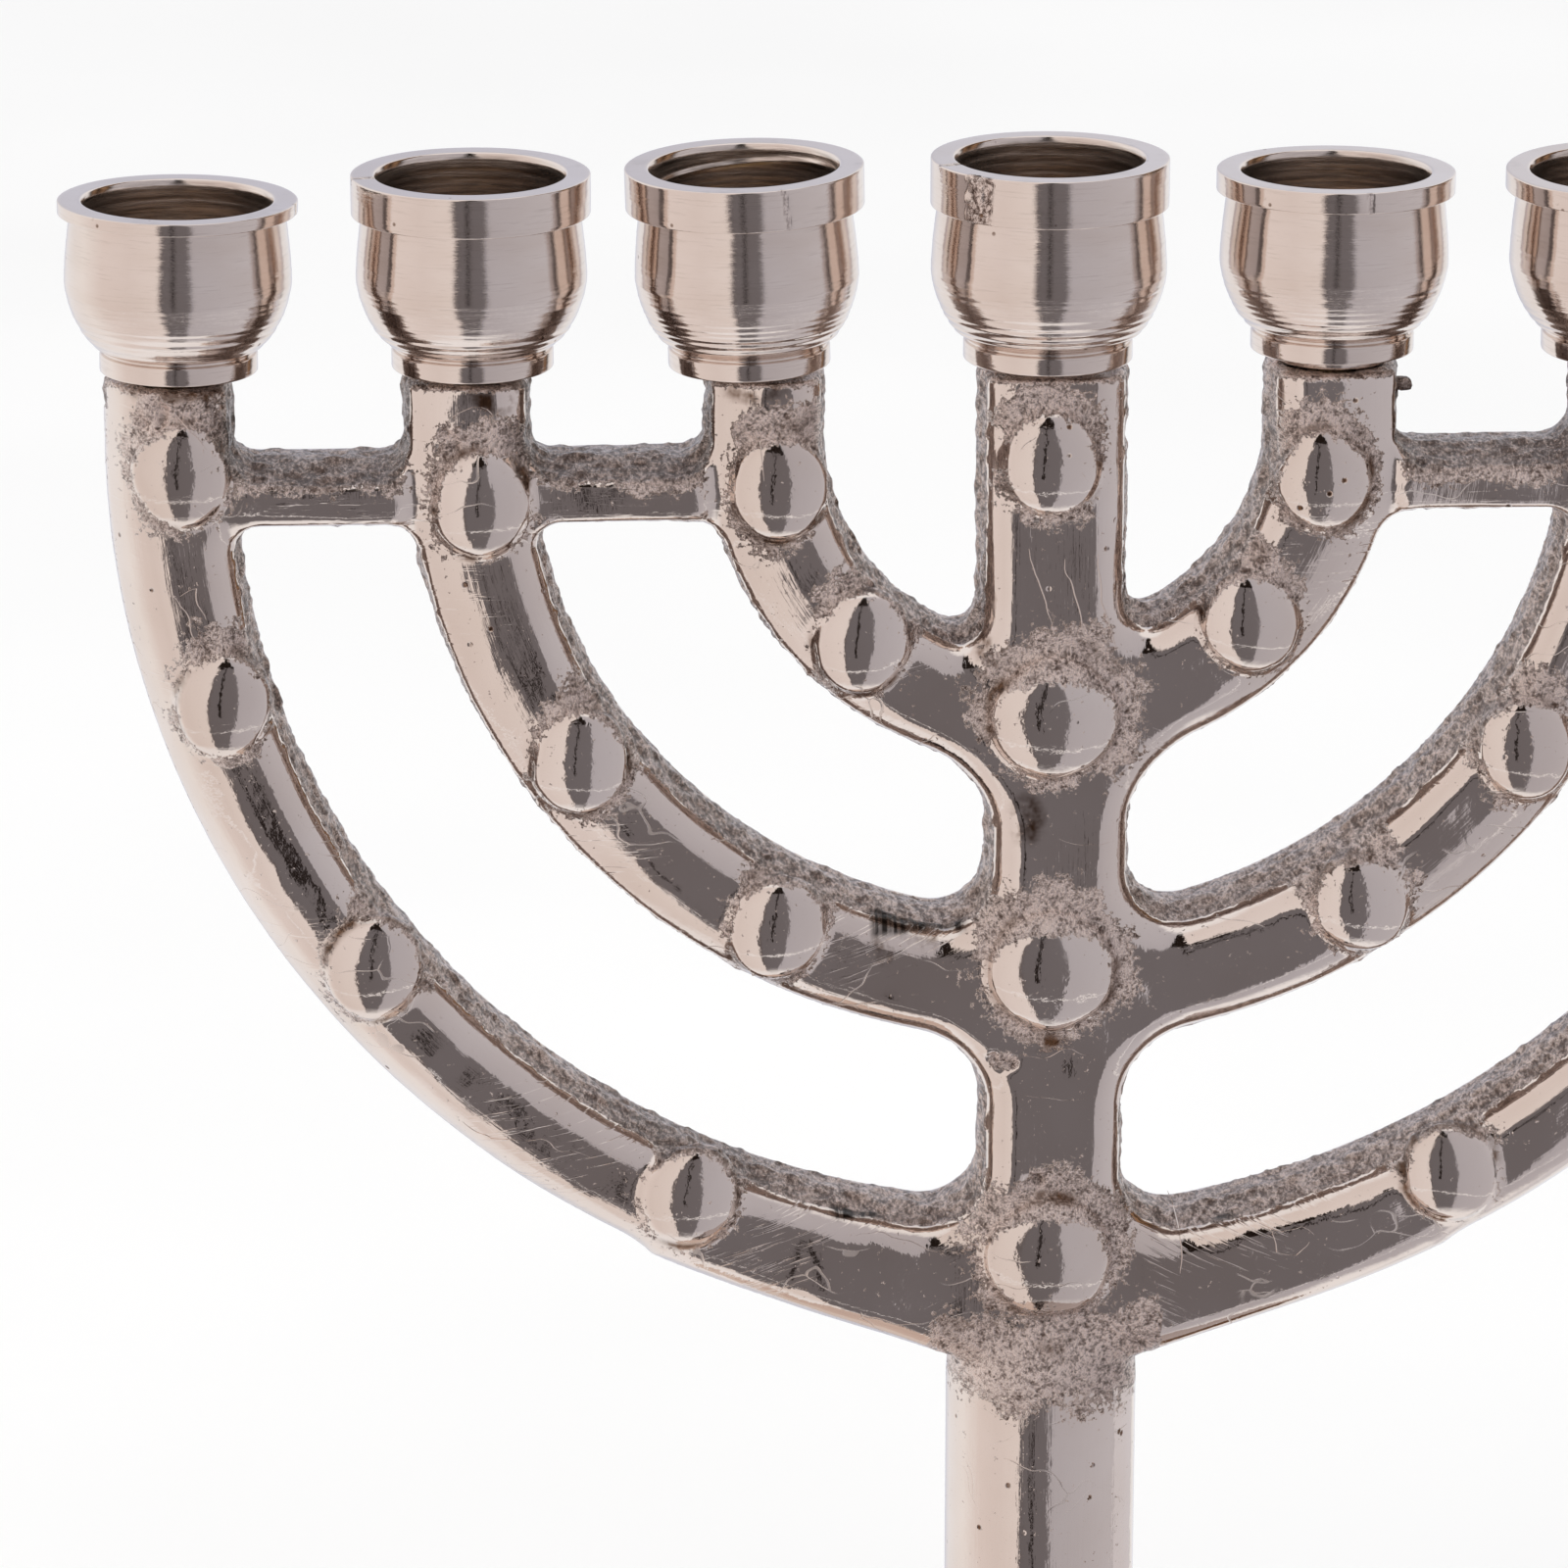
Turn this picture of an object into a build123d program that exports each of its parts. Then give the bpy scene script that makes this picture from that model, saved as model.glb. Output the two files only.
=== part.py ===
from build123d import *
from math import cos, radians, sin
import os

# A seven-branched candlestick about 150 mm wide and 149 mm high, in millimetres.
# Z = 0 is the table, the stem's axis is X = Y = 0, and the front faces -Y.
# Rows of values run from the left end to the right end of the candlestick.

# Branch frame: one flat casting, drawn at its parting plane Y = 0
BRANCH_TOP = 133.1           # flat tops that the cups stand on
ARC_HEIGHT = 128.0           # centre of the inner two pairs of branches
OUTSIDE_ARC_HEIGHT = 127.5   # centre of the outermost edge
END_ARC_HEIGHT = 126.3       # centre of the inner edge of the end branches
MIDDLE_ARC_HEIGHT = 128.6    # centre of the outer edge of the middle branches
LEFT_BRANCHES = ((71.3, 61.5), (49.0, 39.2), (26.4, 17.1))     # outer and inner radius
RIGHT_BRANCHES = ((72.2, 62.3), (49.2, 39.3), (26.2, 16.1))
SLOT_EDGES = (-5.7, 5.8)     # stem's left and right edge beside the slots
UPPER_EDGES = (-4.9, 6.3)    # the same beside the upper windows
LOWER_EDGES = (-5.3, 6.1)    # and beside the lower windows
BAR_BOTTOM = 121.8
BAR_TOP = 126.5
CORNER_RADIUS = 1.8          # between a bar and a branch
WINDOW_END_RADIUS = 4.8      # where a window meets the stem
CROTCH_RADIUS = 2.6          # bottom of the slot beside the stem
SKIRT_REACH = 24.0           # half width of the web from the end branches to the column
SKIRT_TOP = 61.6             # inside the end branches, so that its edge runs into theirs
SKIRT_BOTTOM = 53.8
WALL_DEPTH = 4.2             # from the parting plane to the edge of a face
WALL_DRAFT = 8.0             # degrees, so that the pattern leaves the sand
CROWN_STEPS = ((0.7, 40.0), (0.6, 68.0))     # rise and slope of the rounded faces
CROWN_RISE = sum(rise for rise, slope in CROWN_STEPS)
FACE_DEPTH = WALL_DEPTH + CROWN_RISE
TOP_ALLOWANCE = 3.0          # cast over the branch tops, then cut flat

# Column at the bottom of the frame
COLUMN_DIAMETER = 14.9
COLUMN_BOTTOM = 30.0
SHOULDER_BOTTOM = 53.0       # here the round column starts to run out into the frame
SHOULDER_TOP = 58.0
SHOULDER_TOP_RADIUS = 4.8
SPIGOT_DIAMETER = 10.0
SPIGOT_LENGTH = 6.5

# Oval bosses on the front face: angles below the horizontal, in degrees, on each branch
LEFT_BOSSES = ((1.0, 17.0, 38.0, 65.0), (5.0, 34.0, 61.0), (8.0, 46.0))
RIGHT_BOSSES = ((1.0, 17.0, 38.0, 62.0), (5.0, 34.0, 57.0), (8.0, 43.0))
BOSS_INSET = 0.8             # how far the bosses lie inside the middle of their branch
BOSS_WIDTH = 6.9
BOSS_LENGTH = 8.2
BOSS_RISE = 1.5
BOSS_SINK = 2.0              # how far a boss reaches into the face
BOSS_MARGIN = 0.2            # how far its dome runs on past its width
BOSS_LEAN = 0.4              # how much a boss leans with its branch
STEM_SMALL_BOSS = 126.6
STEM_LARGE_BOSSES = (106.8, 86.5, 62.9)
LARGE_BOSS_SIZE = 9.6
LARGE_BOSS_RISE = 2.0

# Candle cups: seven turned pieces, no two quite alike
CUP_X = (-65.6, -43.6, -22.8, -0.3, 21.2, 43.2, 65.8)
CUP_HEIGHTS = (13.0, 14.7, 15.2, 15.4, 13.7, 13.9, 14.4)
FLANGE_HEIGHTS = (0.95, 3.0, 3.1, 3.6, 1.6, 1.5, 2.5)
BELLY_RADII = (8.5, 8.65, 8.4, 8.87, 8.6, 8.55, 8.5)
FOOT_RADII = (5.92, 6.08, 6.1, 6.38, 6.15, 6.05, 6.0)
RIM_RADIUS = 8.95
NECK_NARROWING = 0.45        # under the flange, against the belly
BELLY_HEIGHT = 6.9           # widest place of the belly
BELLY_FULLNESS = 1.6         # exponent of the belly's curve, 2 being an ellipse
NECK_FULLNESS = 1.5          # exponent of the curve from the belly up to the flange
FOOT_HEIGHT = 1.4
GROOVE_DEPTH = 0.3           # turned groove over the foot ring
GROOVE_HEIGHT = 0.3
SEAT_RADIUS = 4.2            # land under the foot, so that a thin gap shows round it
SEAT_HEIGHTS = (0.4, 0.4, 0.3, 0.4, 0.8, 0.5, 0.4)
BORE_RADIUS = 7.0
BORE_BOTTOM = 5.4            # the bore is straight down to here, then conical
FLOOR_RADIUS = 5.0
FLOOR_HEIGHT = 3.0
CURVE_STEPS = 5              # points on each half of the belly's curve

# Cup screws, slotted
SCREW_RADIUS = 2.0
CLEARANCE_RADIUS = 2.2
TAPPED_RADIUS = 2.05
TAPPED_DEPTH = 9.0
SCREW_LENGTH = 10.5
SCREW_HEAD_RADIUS = 3.5
SCREW_HEAD_HEIGHT = 2.2
SCREW_HEAD_EDGE = 0.5
SLOT_WIDTH = 1.0
SLOT_DEPTH = 1.1

# Pedestal: a turned bell with a hollow underside, as (radius, height) points
PEDESTAL_RADIUS = 39.0
PEDESTAL_TOP = 23.0
PEDESTAL_TOP_RADIUS = 9.6
RIM_BAND = 3.2               # height of the straight band at the table
RIM_STEP = 36.4              # radius of the step over the band
BELL_CURVE = ((34.8, 4.6), (26.0, 9.6), (14.6, 14.4), (9.6, 21.6))
HOLLOW_CURVE = ((35.8, 0.0), (30.5, 4.4), (21.0, 8.6), (9.4, 12.6))
HUB_BOTTOM = 12.6

# Collar between the pedestal and the column
COLLAR_RADIUS = 10.4
COLLAR_WAIST = 8.6
COLLAR_BEAD = 2.6            # height of each bead
COLLAR_CLEARANCE = 0.05

# Tie: a threaded stud, a washer and a nut that hold the stack together
STUD_RADIUS = 3.0
STUD_HOLE_RADIUS = 3.15
STUD_BOTTOM = 4.6
STUD_TOP = 42.0
WASHER_RADIUS = 7.0
WASHER_THICKNESS = 1.2
NUT_RADIUS = 5.0             # across the flats
NUT_HEIGHT = 5.0
NUT_HOLE_RADIUS = 3.05

FAR = 100.0                  # beyond any edge, for cutting
NEAR = 0.1                   # tolerance for picking corners


def block(x_a, x_b, z_a, z_b):
    """A flat rectangle between two corners."""
    return Pos((x_a + x_b) / 2, (z_a + z_b) / 2) * Rectangle(abs(x_b - x_a), abs(z_b - z_a))


def disc(radius, height):
    """A flat disc on the stem's axis."""
    return Pos(0, height) * Circle(radius)


def rounded(face, radius, chosen):
    """The flat face with a fillet at each corner that the test picks."""
    return fillet(face.vertices().filter_by(chosen), radius)


def turned(*outline):
    """A solid turned on the Z axis from the edges of its half profile."""
    return revolve(Plane.XZ * make_face(outline), Axis.Z)


def ring(radius, hole_radius, bottom, height):
    """A plain turned ring."""
    blank = Pos(0, 0, bottom + height / 2) * Cylinder(radius, height)
    return blank - Pos(0, 0, bottom + height / 2) * Cylinder(hole_radius, height)


def drilled(solid, x, radius, bottom, top):
    """The solid with a round vertical hole."""
    return solid - Pos(x, 0, (bottom + top) / 2) * Cylinder(radius, top - bottom)


def crescent_window(stem_edge, edge, hub):
    """The opening between two branches, below their bar; edge and hub are discs."""
    side = 1 if stem_edge > 0 else -1
    opening = (edge - hub) & block(stem_edge, side * FAR, 0, BAR_BOTTOM)
    opening = rounded(opening, WINDOW_END_RADIUS, lambda v: abs(v.X - stem_edge) < NEAR)
    return rounded(opening, CORNER_RADIUS, lambda v: v.Y > BAR_BOTTOM - NEAR)


def bar_gap(x_a, x_b):
    """The gap over a bar, between two branch tops."""
    gap = block(x_a, x_b, BAR_TOP, BRANCH_TOP + FAR)
    return rounded(gap, CORNER_RADIUS, lambda v: v.Y < BAR_TOP + NEAR)


def stem_slot(stem_edge, branch_edge):
    """The open slot between the innermost branch and the stem."""
    side = 1 if stem_edge > 0 else -1
    lower = disc(abs(branch_edge), ARC_HEIGHT) & block(stem_edge, side * FAR, 0, ARC_HEIGHT)
    slot = lower + block(stem_edge, branch_edge, ARC_HEIGHT, BRANCH_TOP + FAR)
    return rounded(slot, CROTCH_RADIUS, lambda v: v.Y < ARC_HEIGHT - 1)


def frame_side(side, branches, slot_edge, upper_edge, lower_edge):
    """The left (-1) or right (1) half of the frame's outline, as a flat face."""
    end, middle, inner = branches
    half = disc(end[0], OUTSIDE_ARC_HEIGHT) & block(0, side * FAR, 0, OUTSIDE_ARC_HEIGHT)
    half += block(0, side * end[0], OUTSIDE_ARC_HEIGHT, BRANCH_TOP + TOP_ALLOWANCE)
    lower_hub = disc(middle[0], MIDDLE_ARC_HEIGHT)
    upper_hub = disc(inner[0], ARC_HEIGHT)
    half -= crescent_window(lower_edge, disc(end[1], END_ARC_HEIGHT), lower_hub)
    half -= crescent_window(upper_edge, disc(middle[1], ARC_HEIGHT), upper_hub)
    half -= bar_gap(side * end[1], side * middle[0])
    half -= bar_gap(side * middle[1], side * inner[0])
    return half - stem_slot(slot_edge, side * inner[1])


def frame_outline():
    """The whole flat outline, with the web that runs down to the column."""
    foot = COLUMN_DIAMETER / 2
    left = ((-SKIRT_REACH, SKIRT_TOP), (-foot, SKIRT_BOTTOM))
    right = ((foot, SKIRT_BOTTOM), (SKIRT_REACH, SKIRT_TOP))
    skirt = make_face(Polyline(*left, *right, close=True))
    left_side = frame_side(-1, LEFT_BRANCHES, SLOT_EDGES[0], UPPER_EDGES[0], LOWER_EDGES[0])
    right_side = frame_side(1, RIGHT_BRANCHES, SLOT_EDGES[1], UPPER_EDGES[1], LOWER_EDGES[1])
    return left_side + right_side + skirt


def flat_casting():
    """The outline with drafted walls and crowned faces, its branch tops cut flat."""
    casting = extrude(Plane.XZ * frame_outline(), amount=WALL_DEPTH, both=True, taper=WALL_DRAFT)
    for end in (0, -1):
        for rise, slope in CROWN_STEPS:
            face = casting.faces().sort_by(Axis.Y)[end]
            casting += extrude(face, amount=rise, taper=slope)
    over_tops = Pos(0, 0, BRANCH_TOP + FAR / 2) * Box(2 * FAR, FAR, FAR)
    return casting - over_tops


def boss(x, z, lean, width, length, rise):
    """An oval dome on the front; lean turns its long axis from upright, in degrees."""
    radius = ((width / 2) ** 2 + rise ** 2) / (2 * rise)
    whole = scale(Sphere(radius), by=(1, 1, length / width))
    oval = Ellipse(width / 2 + BOSS_MARGIN, length / 2 + BOSS_MARGIN)
    plug = Pos(0, -radius, 0) * extrude(Plane.XZ * oval, amount=rise + BOSS_SINK, both=True)
    cap = whole & plug
    return Pos(x, radius - rise - FACE_DEPTH, z) * Rot(0, lean, 0) * cap


def branch_bosses(side, branches, angles):
    """The small bosses along the branches of one side."""
    domes = []
    for (outer, inner), row in zip(branches, angles):
        middle = (outer + inner) / 2 - BOSS_INSET
        for angle in row:
            x = side * middle * cos(radians(angle))
            z = ARC_HEIGHT - middle * sin(radians(angle))
            domes.append(boss(x, z, side * angle * BOSS_LEAN, BOSS_WIDTH, BOSS_LENGTH, BOSS_RISE))
    return domes


def stem_bosses():
    """One small boss at the top of the stem and three large round ones below it."""
    domes = [boss(0, STEM_SMALL_BOSS, 0, BOSS_WIDTH, BOSS_LENGTH, BOSS_RISE)]
    for height in STEM_LARGE_BOSSES:
        domes.append(boss(0, height, 0, LARGE_BOSS_SIZE, LARGE_BOSS_SIZE, LARGE_BOSS_RISE))
    return domes


def column():
    """The round column with its shoulder and the spigot that enters the collar."""
    radius = COLUMN_DIAMETER / 2
    length = SHOULDER_BOTTOM - COLUMN_BOTTOM
    shaft = Pos(0, 0, COLUMN_BOTTOM + length / 2) * Cylinder(radius, length)
    rise = SHOULDER_TOP - SHOULDER_BOTTOM
    shoulder = Pos(0, 0, SHOULDER_BOTTOM + rise / 2) * Cone(radius, SHOULDER_TOP_RADIUS, rise)
    spigot = Pos(0, 0, COLUMN_BOTTOM - SPIGOT_LENGTH / 2) * Cylinder(SPIGOT_DIAMETER / 2, SPIGOT_LENGTH)
    return shaft + shoulder + spigot


def branch_frame():
    """The whole casting, drilled for the cup screws and the tie stud."""
    frame = flat_casting() + column()
    frame += branch_bosses(-1, LEFT_BRANCHES, LEFT_BOSSES)
    frame += branch_bosses(1, RIGHT_BRANCHES, RIGHT_BOSSES)
    frame += stem_bosses()
    for x in CUP_X:
        frame = drilled(frame, x, TAPPED_RADIUS, BRANCH_TOP - TAPPED_DEPTH, BRANCH_TOP)
    return drilled(frame, 0, STUD_HOLE_RADIUS, COLUMN_BOTTOM - SPIGOT_LENGTH, STUD_TOP)


def belly_points(height, flange, belly, foot):
    """Points on the cup's outside, from the groove over its foot up to its flange."""
    start = FOOT_HEIGHT + GROOVE_HEIGHT
    narrow = foot - GROOVE_DEPTH
    top = height - flange
    points = []
    for step in range(CURVE_STEPS):
        below = 1 - step / CURVE_STEPS
        swell = (1 - below ** BELLY_FULLNESS) ** (1 / BELLY_FULLNESS)
        radius = narrow + (belly - narrow) * swell
        points.append((radius, BELLY_HEIGHT - (BELLY_HEIGHT - start) * below))
    for step in range(CURVE_STEPS + 1):
        above = step / CURVE_STEPS
        radius = belly - NECK_NARROWING * above ** NECK_FULLNESS
        points.append((radius, BELLY_HEIGHT + (top - BELLY_HEIGHT) * above))
    return points


def candle_cup(seat, height, flange, belly, foot):
    """A turned cup, its foot's underside at Z = 0."""
    outside = belly_points(height, flange, belly, foot)
    curve = Spline(*outside)
    below = Polyline(
        (CLEARANCE_RADIUS, FLOOR_HEIGHT),
        (CLEARANCE_RADIUS, -seat),
        (SEAT_RADIUS, -seat),
        (SEAT_RADIUS, 0),
        (foot, 0),
        (foot, FOOT_HEIGHT),
        (foot - GROOVE_DEPTH, FOOT_HEIGHT),
        outside[0],
    )
    above = Polyline(
        outside[-1],
        (RIM_RADIUS, height - flange),
        (RIM_RADIUS, height),
        (BORE_RADIUS, height),
        (BORE_RADIUS, BORE_BOTTOM),
        (FLOOR_RADIUS, FLOOR_HEIGHT),
        (CLEARANCE_RADIUS, FLOOR_HEIGHT),
    )
    return turned(*below.edges(), *curve.edges(), *above.edges())


def cup_screw():
    """A slotted screw, the underside of its head at Z = 0."""
    head = Pos(0, 0, SCREW_HEAD_HEIGHT / 2) * Cylinder(SCREW_HEAD_RADIUS, SCREW_HEAD_HEIGHT)
    head = fillet(head.edges().sort_by(Axis.Z)[-1], SCREW_HEAD_EDGE)
    shank = Pos(0, 0, -SCREW_LENGTH / 2) * Cylinder(SCREW_RADIUS, SCREW_LENGTH)
    slot_middle = SCREW_HEAD_HEIGHT - SLOT_DEPTH / 2
    return head + shank - Pos(0, 0, slot_middle) * Box(FAR, SLOT_WIDTH, SLOT_DEPTH)


def pedestal():
    """The bell-shaped foot, with a flat hub inside for the washer."""
    rim = Polyline(
        HOLLOW_CURVE[0],
        (PEDESTAL_RADIUS, 0),
        (PEDESTAL_RADIUS, RIM_BAND),
        (RIM_STEP, RIM_BAND),
        (RIM_STEP, BELL_CURVE[0][1]),
        BELL_CURVE[0],
    )
    bell = Spline(*BELL_CURVE, tangents=((0, 1), (0, 1)))
    top = Polyline(
        BELL_CURVE[-1],
        (PEDESTAL_TOP_RADIUS, PEDESTAL_TOP),
        (STUD_HOLE_RADIUS, PEDESTAL_TOP),
        (STUD_HOLE_RADIUS, HUB_BOTTOM),
        HOLLOW_CURVE[-1],
    )
    hollow = Spline(*HOLLOW_CURVE)
    return turned(*rim.edges(), *bell.edges(), *top.edges(), *hollow.edges())


def column_collar():
    """A waisted ring with a bead above and below."""
    bore = SPIGOT_DIAMETER / 2 + COLLAR_CLEARANCE
    height = COLUMN_BOTTOM - PEDESTAL_TOP
    collar = ring(COLLAR_WAIST, bore, PEDESTAL_TOP, height)
    for middle in (PEDESTAL_TOP + COLLAR_BEAD / 2, COLUMN_BOTTOM - COLLAR_BEAD / 2):
        bead = ring(COLLAR_RADIUS, bore, middle - COLLAR_BEAD / 2, COLLAR_BEAD)
        circles = bead.edges().filter_by(GeomType.CIRCLE)
        rims = circles.filter_by(lambda edge: edge.radius > COLLAR_WAIST)
        collar += fillet(rims, COLLAR_BEAD / 2 - NEAR)
    return collar


def base_nut(top):
    """A hexagon nut under the washer."""
    hexagon = RegularPolygon(NUT_RADIUS, 6, major_radius=False) - Circle(NUT_HOLE_RADIUS)
    return extrude(Pos(0, 0, top - NUT_HEIGHT) * hexagon, NUT_HEIGHT)


def save(node, solid):
    """Writes one node and prints its volume."""
    export_step(solid, "parts/" + node + ".step")
    print(node, round(solid.volume, 1))


os.makedirs("parts", exist_ok=True)
save("branch_frame", branch_frame())
cup_rows = zip(CUP_X, SEAT_HEIGHTS, CUP_HEIGHTS, FLANGE_HEIGHTS, BELLY_RADII, FOOT_RADII)
for number, (x, seat, *shape) in enumerate(cup_rows, 1):
    foot_level = BRANCH_TOP + seat
    save("candle_cup_" + str(number), Pos(x, 0, foot_level) * candle_cup(seat, *shape))
    save("cup_screw_" + str(number), Pos(x, 0, foot_level + FLOOR_HEIGHT) * cup_screw())
save("pedestal", pedestal())
save("column_collar", column_collar())
tie_stud = Pos(0, 0, (STUD_BOTTOM + STUD_TOP) / 2) * Cylinder(STUD_RADIUS, STUD_TOP - STUD_BOTTOM)
save("tie_stud", tie_stud)
washer_bottom = HUB_BOTTOM - WASHER_THICKNESS
save("base_washer", ring(WASHER_RADIUS, STUD_HOLE_RADIUS, washer_bottom, WASHER_THICKNESS))
save("base_nut", base_nut(washer_bottom))
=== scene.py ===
import bpy
import math
import numpy as np
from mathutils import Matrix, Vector


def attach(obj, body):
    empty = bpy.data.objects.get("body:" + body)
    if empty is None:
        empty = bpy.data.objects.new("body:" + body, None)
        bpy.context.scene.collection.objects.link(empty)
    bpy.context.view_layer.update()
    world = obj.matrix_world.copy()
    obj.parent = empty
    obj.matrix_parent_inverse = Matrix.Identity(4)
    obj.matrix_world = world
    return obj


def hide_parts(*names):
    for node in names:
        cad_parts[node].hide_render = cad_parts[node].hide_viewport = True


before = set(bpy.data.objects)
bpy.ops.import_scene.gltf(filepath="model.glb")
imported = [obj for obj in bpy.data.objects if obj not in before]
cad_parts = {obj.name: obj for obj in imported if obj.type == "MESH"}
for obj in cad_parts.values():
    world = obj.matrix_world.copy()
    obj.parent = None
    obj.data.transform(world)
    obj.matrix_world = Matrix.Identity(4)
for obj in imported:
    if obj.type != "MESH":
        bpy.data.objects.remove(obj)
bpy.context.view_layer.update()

# Seven-branched candlestick, nickel-plated casting with turned cups. Shapes are given in
# millimetres and every mesh is scaled by MM as it is made; the camera, lights, floor and
# the materials' relief are in metres.
MM = 0.001
SEED = 11

# Casting outline, as in the CAD model
BRANCH_TOP = 133.1
ARC_HEIGHT = 128.0
OUTSIDE_ARC_HEIGHT = 127.5
END_ARC_HEIGHT = 126.3
MIDDLE_ARC_HEIGHT = 128.6
LEFT_BRANCHES = ((71.3, 61.5), (49.0, 39.2), (26.4, 17.1))
RIGHT_BRANCHES = ((72.2, 62.3), (49.2, 39.3), (26.2, 16.1))
SLOT_EDGES = (5.7, 5.8)
UPPER_EDGES = (4.9, 6.3)
LOWER_EDGES = (5.3, 6.1)
BAR_BOTTOM = 121.8
BAR_TOP = 126.5
CORNER_RADIUS = 1.8
WINDOW_END_RADIUS = 4.8
CROTCH_RADIUS = 2.6
SKIRT_REACH = 24.0
SKIRT_TOP = 61.6
SKIRT_BOTTOM = 53.8
SKIRT_BLEND = 5.0
WALL_DEPTH = 4.2
WALL_DRAFT = math.radians(8.0)
FACE_DEPTH = 5.5

# Section of a branch: how far the face is worn down towards its edges
INNER_INSET = 2.3
OUTER_INSET = 4.6
CROWN_DROP = 1.3
BAR_INSET = 1.1
BAR_DROP = 0.25
BAR_WAVE = 0.42
EDGE_RADIUS = 0.45
PERIMETER_RADIUS = 3.2
WAVE_HEIGHT = 0.15
WAVE_LENGTH = 7.5
RIPPLE_HEIGHT = 0.07
RIPPLE_LENGTH = 2.9
DOME_RIPPLE = 0.03

# Column
COLUMN_RADIUS = 7.45
COLUMN_BOTTOM = 30.0
COLUMN_EDGE_RADIUS = 0.6
SHOULDER_BOTTOM = 51.5
SHOULDER_TOP = 59.0
SHOULDER_TOP_RADIUS = 4.6
SHOULDER_BLEND = 1.6
NUB = (26.5, -2.0, 131.6)    # a drop of metal on a wall
NUB_RADIUS = 0.6
NUB_BLEND = 0.3
WORN_RADIUS = 9.7            # the front of the column, ground flatter and a little to the left
WORN_X = -0.8
WORN_DEPTH = 0.4

# Bosses: angles below the horizontal, in degrees, and how far they lie inside the middle line
LEFT_BOSSES = ((1.0, 17.0, 38.0, 65.0), (5.0, 34.0, 61.0), (8.0, 46.0))
RIGHT_BOSSES = ((1.0, 17.0, 38.0, 62.0), (5.0, 34.0, 57.0), (8.0, 43.0))
BOSS_INSET = 0.8
BOSS_WIDTH = 7.2
BOSS_LENGTH = 8.2
BOSS_RISE = 1.35
BOSS_SAG = 0.98
BOSS_LEAN = 0.4
BOSS_SINK = 1.4              # how far a boss reaches into the face
BOSS_EDGE_RADIUS = 0.5
BOSS_BLEND = 0.8
BOSS_WAVER = 0.05            # how far a boss's outline strays, as a share of its width
BOSS_WAVER_LENGTH = 2.9
STEM_SMALL_BOSS = 126.6
STEM_SMALL_BOSS_X = -0.4
STEM_LARGE_BOSSES = (106.8, 86.5, 62.9)
LARGE_BOSS_SIZE = 9.6
LARGE_BOSS_RISE = 1.75
LARGE_BOSS_SAG = 1.12
DOME_SQUARE = 0.82           # share of the sag that grows with the square, the rest with the fourth power

# Rough patches: where the face was left as cast over each boss and at the shoulder
RAGGED = ((0.22, 3.0, 2.6), (0.14, 9.0, 1.1))    # height, place and length of each noise
PATCH_REACH = (1.02, 0.50)   # of a small boss, and how much further above it
LARGE_PATCH_REACH = (1.20, 0.20)
PATCH_START = 0.10           # how far a patch comes in over the top of a boss
LARGE_PATCH_START = 0.34
SHOULDER_PATCH = (54.6, 4.4, 9.0)                # middle height, half height, half width

# Sand-cast skin
GRID = 0.36
SLOPE_STEP = 0.02
SETTLING = 3                 # times the grid's points are drawn onto the true surface
SETTLING_REACH = 0.3
GRAIN_HEIGHT = 0.16
GRAIN_LENGTHS = (1.15, 0.6)
PATCH_HEIGHT = 0.04
PATCH_GRAIN = 0.3            # share of the walls' relief
CUT_GRAIN = 0.3              # the same on the cut branch tops
PIT_DEPTH = 0.55
PIT_LENGTH = 0.75

# Brown stains, black combs and deep pits on the front: centre x, centre z, half sizes, and a comb's slope
STAINS = (
    (-12.4, 88.5, 1.7, 1.7), (-9.4, 88.8, 0.7, 1.3), (-5.4, 112.2, 0.8, 1.4),
    (-42.1, 132.3, 2.6, 1.6), (-22.7, 132.6, 2.6, 1.2), (-10.8, 90.2, 3.2, 1.6),
    (-2.0, 98.5, 1.6, 2.4), (-65.6, 132.8, 4.0, 0.7), (-0.3, 80.5, 2.0, 0.8),
)
COMBS = ((-10.1, 90.4, 3.6, 1.1, 0.0), (18.3, 67.3, 5.3, 0.8, 0.33), (-12.6, 66.2, 4.0, 0.5, -0.08))
PITS = ((-67.6, 131.4, 1.5, 1.3), (-45.6, 128.4, 0.9, 1.8), (-0.6, 68.9, 1.6, 0.7), (-3.6, 79.0, 1.3, 1.0))

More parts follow.
